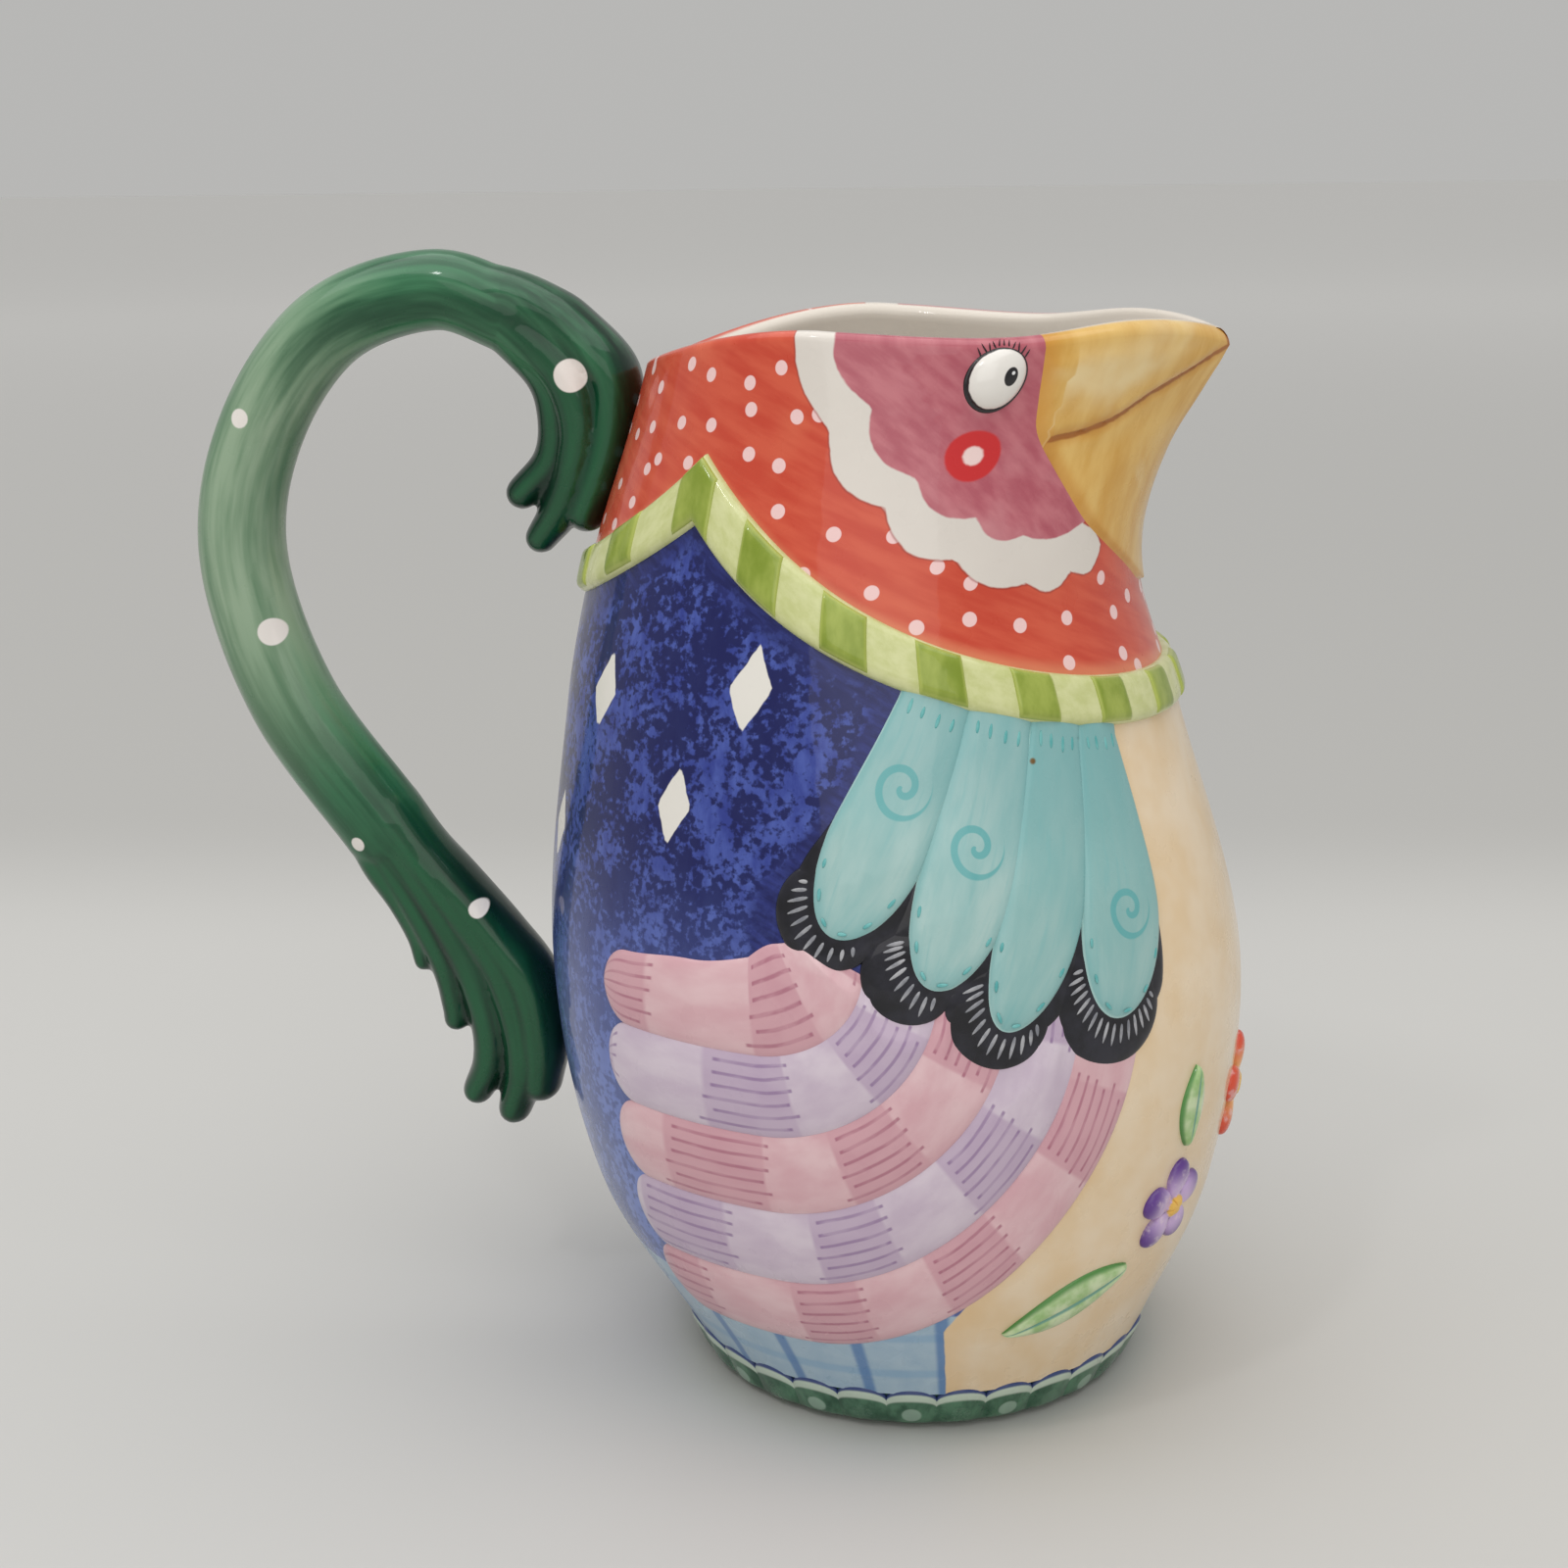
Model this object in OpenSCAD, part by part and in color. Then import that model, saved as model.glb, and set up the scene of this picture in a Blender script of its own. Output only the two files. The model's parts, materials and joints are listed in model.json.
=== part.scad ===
// Pitcher in the form of a hen: the beak is the spout and the tail is the handle.
// Millimetres, +Z up. The bird faces +X and the origin is the centre of the foot.

/* [Foot] */
// Radius of the foot where it stands
foot_r = 46; // [42:0.5:49]
// Height of the foot ring
foot_h = 10; // [8:0.5:12]
// Width of the flat that the foot stands on
foot_land = 7; // [5:0.5:10]
// Number of scallops in the frill around the foot
frill_scallops = 30; // [20:1:36]
// Height of each scallop
frill_scallop_h = 2; // [1:0.25:3]
// Thickness of the frill
frill_t = 1.4; // [1:0.1:2]

/* [Base of the body] */
// Radius of the round base, on top of the foot
base_r = 52; // [50:0.5:56]

/* [Haunch] */
// Height of the haunch section
haunch_z = 45; // [40:1:50]
// Reach of the haunch to the back
haunch_back = 72; // [68:0.5:76]
// Reach of the haunch to the front
haunch_front = 66; // [62:0.5:70]
// Half width of the haunch
haunch_side = 69; // [65:0.5:73]

/* [Belly] */
// Height of the widest section
belly_z = 94; // [88:1:100]
// Reach of the belly to the back
belly_back = 80.5; // [76:0.5:85]
// Reach of the belly to the front
belly_front = 71; // [67:0.5:75]
// Half width of the belly
belly_side = 75; // [71:0.5:79]

/* [Shoulder] */
// Height of the shoulder section
shoulder_z = 150; // [146:1:154]
// Reach of the shoulder to the back
shoulder_back = 75.5; // [72:0.5:79]
// Reach of the shoulder to the front
shoulder_front = 56; // [53:0.5:59]
// Half width of the shoulder
shoulder_side = 65; // [62:0.5:68]

/* [Neck] */
// Height of the neck section
neck_z = 180; // [177:1:184]
// Reach of the neck to the back
neck_back = 69.5; // [67:0.5:72]
// Reach of the neck to the front
neck_front = 47; // [45:0.5:50]
// Half width of the neck
neck_side = 57; // [54:0.5:60]

/* [Head] */
// Height of the head section
head_z = 206; // [203:1:209]
// Reach of the head to the back
head_back = 62.5; // [60:0.5:65]
// Reach of the throat, under the beak
head_front = 52; // [50:0.5:55]
// Half width of the head
head_side = 51; // [48:0.5:54]

/* [Rim] */
// Height of the rim at the sides of the head
rim_z = 230; // [226:1:236]
// Reach of the rim to the back
rim_back = 56; // [53:0.5:59]
// Reach of the beak's tip
rim_front = 66; // [62:0.5:70]
// Half width of the rim
rim_side = 48; // [45:0.5:51]
// How far forward the widest part of the head lies (negative is back)
head_mid = -10; // [-14:0.5:-6]
// Drop of the rim at the back
rim_back_drop = 8; // [5:0.5:10]
// Dip of the rim over the eyes
rim_eye_dip = 1.5; // [1:0.5:4]
// Rise of the rim at the sides
rim_side_rise = 0.8; // [0:0.2:2]
// Drop of the rim at the beak's tip
beak_tip_drop = 3.5; // [2:0.5:5]

/* [Wall] */
// Thickness of the cast wall
wall = 5; // [4:0.25:6]
// Thickness of the floor
floor_t = 7; // [5:0.5:9]
// Rounding of the lip
lip_round = 1.5; // [1:0.25:1.75]
// Slip joint between a piece and what carries it
slip = 0.2; // [0.1:0.05:0.3]
// Bed of slip under a relief
bed = 0.35; // [0.3:0.05:0.4]

/* [Beak] */
// Sharpness of the beak in plan (1 is round)
beak_sharpness = 1.8; // [1.4:0.1:2]
// Half angle of the beak section at the rim
beak_angle = 58; // [52:1:62]
// Height of the beak section's lowest point
beak_z = 176; // [172:1:180]
// Height over which the beak section opens out
beak_opening = 46; // [42:1:50]

/* [Eyes] */
// Radius of the eye
eye_r = 6.25; // [5.5:0.25:7]
// How far the eye stands out
eye_h = 3.2; // [2:0.2:4]
// Angle of the eye from the beak
eye_angle = 66; // [63:1:72]
// Height of the eye below the rim
eye_drop = 7; // [7:0.5:10]

/* [Collar] */
// Height of the collar at the front
collar_front_z = 155.5; // [153:0.5:158]
// Height of the collar's peaks
collar_peak_z = 200; // [196:0.5:203]
// Height of the collar at the back
collar_back_z = 177; // [175:0.5:178]
// Angle of the peaks from the beak
collar_peak = 120; // [116:1:124]
// Height of the band at the front and back
collar_w = 9.5; // [8:0.5:11]
// Height of the band at the peaks
collar_peak_w = 14; // [12:0.5:15]
// Thickness of the band
collar_t = 1.8; // [1.2:0.1:2.4]
// Raised squares from the front to a peak
checks_front = 7; // [5:1:8]
// Raised squares from a peak to the back
checks_back = 3; // [2:1:4]
// Width of the raised squares
check_w = 8.8; // [6:0.2:9.6]
// Thickness of the raised squares
check_t = 0.8; // [0.5:0.1:1.2]

/* [Wing] */
// Gap between the collar and the roots of the feathers
root_gap = 2; // [1.8:0.1:3]
// Thickness of a feather
feather_t = 2.6; // [2:0.2:3.4]
// Thickness of the edging
edging_t = 1.2; // [0.8:0.1:1.6]

/* [Tail bands] */
// Height of the centre that the bands sweep round
sweep_z = 112; // [110:1:114]
// Angle of that centre from the beak
sweep_angle = 104; // [101:1:107]
// Height from one band to the next
band_pitch = 17; // [16:0.25:17.5]
// Angle from one band to the next
band_step = 11.2; // [10.5:0.1:11.6]
// Angle where the bands begin
band_start = 134; // [130:1:140]
// Thickness of the bands
band_t = 1; // [0.7:0.1:1.4]

/* [Breast sprig] */
// Height of the middle blossom on the breast
blossom_z = 64; // [60:1:67]
// Radius of the middle blossom
blossom_r = 12; // [10:0.5:13]
// Thickness of the blossoms and leaves
sprig_t = 1.8; // [1.2:0.1:2.4]

/* [Handle] */
// Rise of the handle's crest above the rim, on its centre line
handle_rise = 6; // [3:0.5:10]
// Reach of the handle's centre line behind the belly
handle_reach = 71; // [66:0.5:78]
// Thickness of the bow at its upper end
handle_t_top = 17; // [16:0.5:20]
// Thickness of the bow at its lower end
handle_t_low = 21; // [20:0.5:25]
// Width of the bow
handle_w = 18; // [15:0.5:20]

/* [Hidden] */
base_z = foot_h + slip;
floor_z = base_z + floor_t;
right = -1;
// Sections of the body: height, back, front and half width
sections = [
    [base_z, -base_r, base_r, base_r],
    [haunch_z, -haunch_back, haunch_front, haunch_side],
    [belly_z, -belly_back, belly_front, belly_side],
    [shoulder_z, -shoulder_back, shoulder_front, shoulder_side],
    [neck_z, -neck_back, neck_front, neck_side],
    [head_z, -head_back, head_front, head_side],
    [rim_z, -rim_back, rim_front, rim_side]
];
// The rim rises and falls between these angles from the beak
rim_knots = [
    [0, -beak_tip_drop],
    [beak_angle * 0.7, 0],
    [eye_angle - 4, -rim_eye_dip],
    [98, rim_side_rise],
    [180, -rim_back_drop]
];
// Rings and columns of the body's mesh
low_rings = 10;
high_rings = 8;
beak_columns = 8;
body_columns = 32;
// The beak section is never narrower than this, in degrees each way
beak_least = 6;
// Below the beak section the columns fan out again by this angle
beak_fan = 18;

// Each feather: angle of its root and tip, drop from root to tip, half width at root and tip, bow to the back
feathers = [
    [70.7, 88.8, 42.2, 6.4, 8.8, 0.6],
    [59.4, 75.2, 47.7, 6.4, 7.6, -0.2],
    [48.6, 65.1, 53.8, 5.4, 7.1, -1.4],
    [39.2, 47.1, 53, 4.9, 10.9, -1.6]
];
// A feather swells by this half way down, and its tip rounds off from this share of its length
feather_belly = 0.9;
tip_from = 0.8;
tip_centre_at = 0.86;
// Each round of the edging: angle behind and height below the middle of the feather's tip, and radius
crescents = [
    [4.8, 1.8, 9.9],
    [6.8, 4.4, 8.5],
    [4.1, 4.9, 9.8],
    [2.3, 3.1, 12.8]
];
// A rounded end is cut blunt at this share of its width, squared
blunt = 0.06;
// Fingers of the leaf ends: distance behind the body's back, height, radius and half width of each knuckle
upper_fingers = [
    [[31.5, 227, 4.5, 7], [20.5, 217.8, 4.2, 6.5], [16, 208.3, 3.8, 6.5],
        [15.5, 199.6, 3.6, 6], [20.5, 192.6, 3, 5]],
    [[30, 230.5, 6.5, 9], [17, 220, 6.5, 9.5], [10, 208.5, 6, 9.5],
        [9, 198, 5, 8.5], [10.5, 189.5, 4, 7], [14, 182.9, 2.8, 5]],
    [[27.5, 233, 5.5, 7.5], [17, 226, 5.6, 9], [6.5, 219, 5.4, 9.5],
        [3, 208, 5, 9], [3, 197, 4.8, 8.5], [4.5, 188.5, 4.4, 7]]
];
lower_fingers = [
    [[45, 110, 4.5, 5.5], [38, 98.7, 3.7, 5.5], [34.5, 90.5, 3.2, 5], [34, 84.2, 2.4, 4.5]],
    [[42.5, 112.5, 5.5, 7], [34, 98, 4.6, 7], [28.5, 84, 4, 6.5],
        [28, 74, 3.4, 5.5], [28.5, 70.6, 3.1, 5]],
    [[40, 114, 6, 8], [30, 100, 5.5, 8], [22.5, 84, 5, 7.5],
        [20.5, 70, 4.6, 7], [23, 60.5, 4.3, 6.5], [28.5, 53, 3.5, 5.5]],
    [[38, 115.5, 6, 8.5], [25.5, 101, 6, 9], [16, 86, 6, 8.5],
        [13, 71, 5.6, 8], [15, 59, 5, 7], [20.5, 49.2, 3.9, 6]],
    [[35.5, 117.5, 5, 8], [24.5, 103.3, 5.5, 8.5], [15, 91.5, 6, 9],
        [9, 80, 6.5, 9], [9, 66, 6, 8.5], [10.5, 59, 4.5, 7]]
];
knuckle_fn = 10;
// Gap between the end of a tail band and the edging
band_trim = 1;
// Where the bow is cut from its leaf ends: distance behind the body's back, and height
bow_top = [29.8, 230.3];
bow_low = [41.7, 115.6];
bow_rings = 26;
bow_sides = 12;
// The sprig's blossoms: millimetres across and up from the middle one, and size
sprig_blossoms = [[0, 0, 1], [37, -14, 0.84], [-37, -14, 0.84]];
// The sprig's leaves: millimetres across and up to the stalk, angle and length
sprig_leaves = [[46, -25, -26, 26], [37, -1, 90, 18], [-46, -25, 206, 26], [-37, -1, 90, 18]];

// Small helpers
function ease(t) = let(c = max(0, min(1, t))) c * c * (3 - 2 * c);
function mix(a, b, t) = a + (b - a) * t;
function wrap(a) = a > 180 ? wrap(a - 360) : a < -180 ? wrap(a + 360) : a;
function span(n) = [for (i = [0:n]) i / n];
function flat(rows) = [for (r = rows) for (p = r) p];

// A smooth curve through rows of [t, values...], read at t in column c
function row_at(rows, t, i = 0) = i >= len(rows) - 2 || t < rows[i + 1][0] ? i : row_at(rows, t, i + 1);
function row_slope(rows, i, c) =
    let(a = rows[max(i - 1, 0)], b = rows[min(i + 1, len(rows) - 1)])
    (b[c] - a[c]) / (b[0] - a[0]);
function through(rows, t, c) =
    let(i = row_at(rows, t), a = rows[i], b = rows[i + 1], h = b[0] - a[0], k = (t - a[0]) / h)
    (2 * k^3 - 3 * k^2 + 1) * a[c] + (k^3 - 2 * k^2 + k) * h * row_slope(rows, i, c)
    + (3 * k^2 - 2 * k^3) * b[c] + (k^3 - k^2) * h * row_slope(rows, i + 1, c);

// The skin of the body, by angle from the beak and height
function rim_wave(a) =
    let(b = abs(wrap(a)), i = row_at(rim_knots, b), p = rim_knots[i], q = rim_knots[i + 1])
    mix(p[1], q[1], ease((b - p[0]) / (q[0] - p[0])));
function skin(a, z) =
    let(
        back = through(sections, z, 1),
        front = through(sections, z, 2),
        side = through(sections, z, 3),
        mid = mix((back + front) / 2, head_mid, ease((z - shoulder_z) / (rim_z - shoulder_z))),
        sharp = mix(1, beak_sharpness, ease((z - neck_z) / (rim_z - neck_z))),
        c = cos(a),
        s = sin(a)
    )
    [
        c > 0 ? mid + (front - mid) * c : mid + (mid - back) * c,
        c > 0 ? side * sign(s) * abs(s)^sharp : side * s,
        z + rim_wave(a) * ease((z - beak_z) / (rim_z - beak_z))
    ];
function facing(a, z) =
    let(n = cross(skin(a + 1, z) - skin(a - 1, z), skin(a, z + 0.5) - skin(a, z - 0.5)))
    n / norm(n);
function lifted(a, z, h) = skin(a, z) + facing(a, z) * h;
// Millimetres along the skin for each degree round it
function per_degree(a, z) = norm(skin(a + 1, z) - skin(a - 1, z)) / 2;
// X of a point a distance behind the body's back
function behind(gap, z) = through(sections, min(z, rim_z), 1) - gap;

// A closed solid between two grids of points, the first one outside
module slab(top, bottom, ring = false) {
    n = len(top);
    m = len(top[0]);
    last = ring ? m - 1 : m - 2;
    points = concat(flat(top), flat(bottom));
    function t(i, j) = i * m + j % m;
    function b(i, j) = n * m + i * m + j % m;
    skins = [
        for (i = [0:n - 2]) for (j = [0:last]) each [
            [t(i, j), t(i + 1, j), t(i + 1, j + 1)],
            [t(i, j), t(i + 1, j + 1), t(i, j + 1)],
            [b(i, j), b(i + 1, j + 1), b(i + 1, j)],
            [b(i, j), b(i, j + 1), b(i + 1, j + 1)]
        ]
    ];
    long_sides = [
        for (j = [0:last]) each [
            [t(0, j), t(0, j + 1), b(0, j + 1)],
            [t(0, j), b(0, j + 1), b(0, j)],
            [t(n - 1, j), b(n - 1, j + 1), t(n - 1, j + 1)],
            [t(n - 1, j), b(n - 1, j), b(n - 1, j + 1)]
        ]
    ];
    ends = ring ? [] : [
        for (i = [0:n - 2]) each [
            [t(i, 0), b(i + 1, 0), t(i + 1, 0)],
            [t(i, 0), b(i, 0), b(i + 1, 0)],
            [t(i, m - 1), t(i + 1, m - 1), b(i + 1, m - 1)],
            [t(i, m - 1), b(i + 1, m - 1), b(i, m - 1)]
        ]
    ];
    polyhedron(points, concat(skins, long_sides, ends));
}

// Half angle of the beak section at a height
function beak_half(z) =
    z < beak_z
    ? beak_least + beak_fan * ease((beak_z - z) / (beak_z - haunch_z))
    : max(beak_least, beak_angle * sin(90 * min(1, (z - beak_z) / beak_opening)));
function beak_column(c, z, gap = 0) = mix(gap - beak_half(z), beak_half(z) - gap, c / beak_columns);
function column(c, z) =
    c <= beak_columns
    ? beak_column(c, z)
    : mix(beak_half(z), 360 - beak_half(z), (c - beak_columns) / body_columns);
// Heights of the rings; the last one rounds the lip over
low_zs = [for (t = span(low_rings)) mix(base_z, beak_z, t)];
inner_zs = [for (t = span(low_rings)) mix(floor_z, beak_z, t)];
high_zs = [for (t = span(high_rings - 1)) mix(beak_z, rim_z - lip_round, t)];
function outside(c_a, z, tip) = lifted(c_a, z, tip ? -lip_round : 0);
function inside(c_a, z, tip) = lifted(c_a, z, tip ? lip_round - wall : -wall);

module body() {
    m = beak_columns + body_columns;
    zs = concat(low_zs, [for (i = [1:high_rings - 1]) high_zs[i]], [rim_z]);
    in_zs = concat(inner_zs, [for (i = [1:high_rings - 1]) high_zs[i]], [rim_z]);
    top = len(zs) - 1;
    outer = [for (r = [0:top]) for (c = [0:m - 1]) outside(column(c, zs[r]), zs[r], r == top)];
    inner = [for (r = [0:top]) for (c = [0:m - 1]) inside(column(c, zs[r]), in_zs[r], r == top)];
    floor_top = [for (p = [for (c = [0:m - 1]) inner[c]]) [p.x, p.y, floor_z]];
    rest = [for (i = [m:len(inner) - 1]) inner[i]];
    points = concat(outer, floor_top, rest, [[0, 0, base_z], [0, 0, floor_z]]);
    centre = len(points) - 2;
    function o(r, c) = r * m + c % m;
    function n(r, c) = (top + 1 + r) * m + c % m;
    function cut(r, c) = r >= low_rings && c < beak_columns;
    walls = [
        for (r = [0:top - 1]) for (c = [0:m - 1]) if (!cut(r, c)) each [
            [o(r, c), o(r + 1, c), o(r + 1, c + 1)],
            [o(r, c), o(r + 1, c + 1), o(r, c + 1)],
            [n(r, c), n(r + 1, c + 1), n(r + 1, c)],
            [n(r, c), n(r, c + 1), n(r + 1, c + 1)]
        ]
    ];
    lip = [
        for (c = [beak_columns:m - 1]) each [
            [o(top, c), n(top, c), n(top, c + 1)],
            [o(top, c), n(top, c + 1), o(top, c + 1)]
        ]
    ];
    notch_floor = [
        for (c = [0:beak_columns - 1]) each [
            [o(low_rings, c), n(low_rings, c), n(low_rings, c + 1)],
            [o(low_rings, c), n(low_rings, c + 1), o(low_rings, c + 1)]
        ]
    ];
    notch_sides = [
        for (r = [low_rings:top - 1]) each [
            [o(r, 0), o(r + 1, 0), n(r + 1, 0)],
            [o(r, 0), n(r + 1, 0), n(r, 0)],
            [o(r, beak_columns), n(r + 1, beak_columns), o(r + 1, beak_columns)],
            [o(r, beak_columns), n(r, beak_columns), n(r + 1, beak_columns)]
        ]
    ];
    floors = [
        for (c = [0:m - 1]) each [
            [centre, o(0, c), o(0, c + 1)],
            [centre + 1, n(0, c + 1), n(0, c)]
        ]
    ];
    color("linen") polyhedron(points, concat(walls, lip, notch_floor, notch_sides, floors));
}

// The spout closes the notch, a slip joint inside it
module beak_spout() {
    gap = slip / per_degree(beak_angle, head_z);
    zs = concat([beak_z + slip], [for (i = [1:high_rings - 1]) high_zs[i]], [rim_z]);
    top = len(zs) - 1;
    function grid(side) = [
        for (r = [0:top]) [for (c = [0:beak_columns]) side(beak_column(c, zs[r], gap), zs[r], r == top)]
    ];
    color("goldenrod") slab(
        grid(function(a, z, tip) outside(a, z, tip)),
        grid(function(a, z, tip) inside(a, z, tip))
    );
}

// The foot flares from its flat to the base of the body
foot_ledge = 1;
function foot_at(z) = mix(foot_r, base_r - foot_ledge, z / foot_h);

module foot_ring() {
    arris = 0.8;
    draft = 2;
    color("seagreen") rotate_extrude($fn = 96) polygon([
        [foot_r - foot_land, 0],
        [foot_r - arris, 0],
        [foot_at(arris), arris],
        [foot_at(foot_h), foot_h],
        [foot_r - foot_land - draft, foot_h]
    ]);
}

module foot_frill() {
    per_scallop = 3;
    low = 2;
    top_gap = 0.5;
    edge_share = 0.6;
    turn = 360 / (frill_scallops * per_scallop);
    high = foot_h - frill_scallop_h - top_gap;
    function edge(a) = high + frill_scallop_h * abs(sin(a * frill_scallops / 2));
    function ring(h) = [
        for (t = [0, 1]) [
            for (i = [0:frill_scallops * per_scallop - 1])
                let(a = i * turn, z = mix(low, edge(a), t), r = foot_at(z) + h * (t == 1 ? edge_share : 1))
                [r * cos(a), r * sin(a), z]
        ]
    ];
    function backing() = [
        for (t = [0, 1]) [
            for (i = [0:frill_scallops * per_scallop - 1])
                let(a = i * turn, z = mix(low, edge(a), t), r = foot_at(z) + slip)
                [r * cos(a), r * sin(a), z]
        ]
    ];
    color("darkgreen") slab(ring(frill_t + slip), backing(), ring = true);
}

// A relief on the skin: place(u, v) gives angle and height, rise(u, v) how far it stands out,
// under(u, v) how far its back is lifted, with u across and v along, each from 0 to 1
module relief(across, along, place, rise, under) {
    function sheet(h) = [
        for (v = along) [for (u = across) let(p = place(u, v)) lifted(p[0], p[1], h(u, v))]
    ];
    slab(sheet(function(u, v) under(u, v) + rise(u, v)), sheet(under));
}

// Centre and height of the collar round the neck, which rises ever more steeply to its peaks
front_rise = 2.6;
back_rise = 2;
function collar_z(a) =
    let(b = abs(wrap(a)))
    b < collar_peak
    ? mix(collar_front_z, collar_peak_z, (b / collar_peak)^front_rise)
    : mix(collar_back_z, collar_peak_z, ((180 - b) / (180 - collar_peak))^back_rise);
function collar_h(a) =
    let(b = abs(wrap(a)), t = b < collar_peak ? b / collar_peak : (180 - b) / (180 - collar_peak))
    mix(collar_w, collar_peak_w, t * t);

module collar_band() {
    columns = 54;
    profile = [[-0.5, 0.35], [-0.38, 1], [0.38, 1], [0.5, 0.35]];
    turns = [for (i = [0:columns - 1]) i * 360 / columns];
    function ring(h) = [
        for (p = profile) [for (a = turns) lifted(a, collar_z(a) + p[0] * collar_h(a), bed + h * p[1])]
    ];
    color("yellowgreen") slab(ring(collar_t), ring(0), ring = true);
}

// Angles of the raised squares, one on each peak
check_angles = concat(
    [for (i = [0:checks_front]) i * collar_peak / checks_front],
    [for (i = [1:checks_back]) mix(collar_peak, 180, i / checks_back)]
);
module collar_checks() {
    high_share = 0.36;
    seat = collar_t + bed + slip;
    color("olivedrab") for (a = check_angles) for (side = [-1, 1])
        if (side > 0 || (a > 0 && a < 180)) relief(
            [-1, 0, 1], [-1, 1],
            function(u, v)
                let(b = side * a + u * check_w / 2 / per_degree(side * a, collar_z(a)))
                [b, collar_z(b) + v * high_share * collar_h(b)],
            function(u, v) check_t,
            function(u, v) seat
        );
}

// The eye is a turned dome set square on the skin
module eye(side) {
    at = lifted(side * eye_angle, rim_z - eye_drop, bed);
    n = facing(side * eye_angle, rim_z - eye_drop);
    dome = [for (t = span(12)) [eye_r * cos(90 * t)^0.8, eye_h * sin(90 * t)]];
    color("white") translate(at) rotate([0, acos(n.z), atan2(n.y, n.x)])
        rotate_extrude($fn = 64) polygon(concat([[0, 0]], dome));
}

// A feather runs from its root under the collar to a round tip, over the edging there
function root_z(f) = collar_z(f[0]) - collar_h(f[0]) / 2 - root_gap;
function feather_mid(f, v) =
    [mix(f[0], f[1], v) + f[5] * sin(180 * v), root_z(f) - f[2] * v];
function tip_round(v) = v < tip_from ? 1 : sqrt(max(blunt, 1 - ((v - tip_from) / (1 - tip_from))^2));
function feather_place(f, u, v) =
    let(
        p = feather_mid(f, v),
        q = feather_mid(f, v + 0.01),
        k = per_degree(p[0], p[1]),
        d = [(q[0] - p[0]) * k, q[1] - p[1]],
        w = (mix(f[3], f[4], v) + feather_belly * sin(180 * v)) * tip_round(v) * u
    )
    [p[0] - w * d.y / norm(d) / k, p[1] + w * d.x / norm(d)];

module feather(i) {
    f = feathers[i];
    color("mediumturquoise") relief(
        [-1, -0.75, 0, 0.75, 1],
        [0, 0.18, 0.36, 0.5, 0.65, 0.8, 0.87, 0.93, 0.97, 1],
        function(u, v) let(p = feather_place(f, u, v)) [right * p[0], p[1]],
        function(u, v) feather_t * (1 - 0.6 * u^2) * (v == 1 ? 0.5 : 1),
        function(u, v) bed + (edging_t + 2 * slip) * ease((v - 0.35) / 0.15)
    );
}

// The edging is a round behind each feather tip, of which a crescent shows
function crescent_mid(i) =
    let(p = feather_mid(feathers[i], tip_centre_at))
    [p[0] + crescents[i][0], p[1] - crescents[i][1]];
// How far a point lies outside a round of the edging
function off_crescent(i, p) =
    let(c = crescent_mid(i))
    norm([(p[0] - c[0]) * per_degree(c[0], c[1]), p[1] - c[1]]) - crescents[i][2];

module wing_edging() {
    stops = [-1, -0.7, -0.35, 0, 0.35, 0.7, 1];
    color("dimgray") for (i = [0:len(crescents) - 1]) relief(
        stops,
        stops,
        function(u, v)
            let(c = crescent_mid(i), r = crescents[i][2])
            [
                right * (c[0] + r * u * sqrt(1 - v * v / 2) / per_degree(c[0], c[1])),
                c[1] - r * v * sqrt(1 - u * u / 2)
            ],
        function(u, v) edging_t * (max(abs(u), abs(v)) == 1 ? 0.5 : 1),
        function(u, v) bed
    );
}

// A tail band runs level from the back, then sweeps up round the centre to the wing.
// The first band starts this many pitches and steps from the centre
first_pitch = 0.16;
first_step = 0.6;
function band_point(k, w, t) =
    let(
        rz = band_pitch * (k + first_pitch) + w,
        ra = band_step * (k + first_step) + w * band_step / band_pitch
    )
    t < 0
    ? [mix(sweep_angle, band_start, -t), sweep_z - rz]
    : [sweep_angle - ra * sin(t), sweep_z - rz * cos(t)];
function clear_of_wing(p) = min([for (i = [0:len(crescents) - 1]) off_crescent(i, p)]) > band_trim;
band_turn = 84;
function band_end(k, w, t = 0) =
    t < band_turn && clear_of_wing(band_point(k, w, t + 2)) ? band_end(k, w, t + 2) : t;

module tail_band(k) {
    half = (band_pitch - 2 * slip) / 2;
    round_from = 0.8;
    end_blunt = 0.1;
    crowding = 1.3;
    stops = concat([-1, -0.985, -0.93, -round_from, -0.5, -0.25], [for (t = span(7 + k)) t^crowding]);
    color(k % 2 == 0 ? "plum" : "pink") relief(
        [-1, -0.7, 0.7, 1],
        stops,
        function(u, v)
            let(
                end = sqrt(max(end_blunt, 1 - max(0, (-v - round_from) / (1 - round_from))^2)),
                w = half * u * end,
                t = v < 0 ? v : v * band_end(k, half * u - half),
                p = band_point(k, w - half, t)
            )
            [right * p[0], p[1]],
        function(u, v) band_t * (1 - 0.5 * u^4),
        function(u, v) bed
    );
}

// A place on the breast, from millimetres across and up from a centre
function on_breast(x, y, z) = [x / per_degree(0, z + y), z + y];

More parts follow.
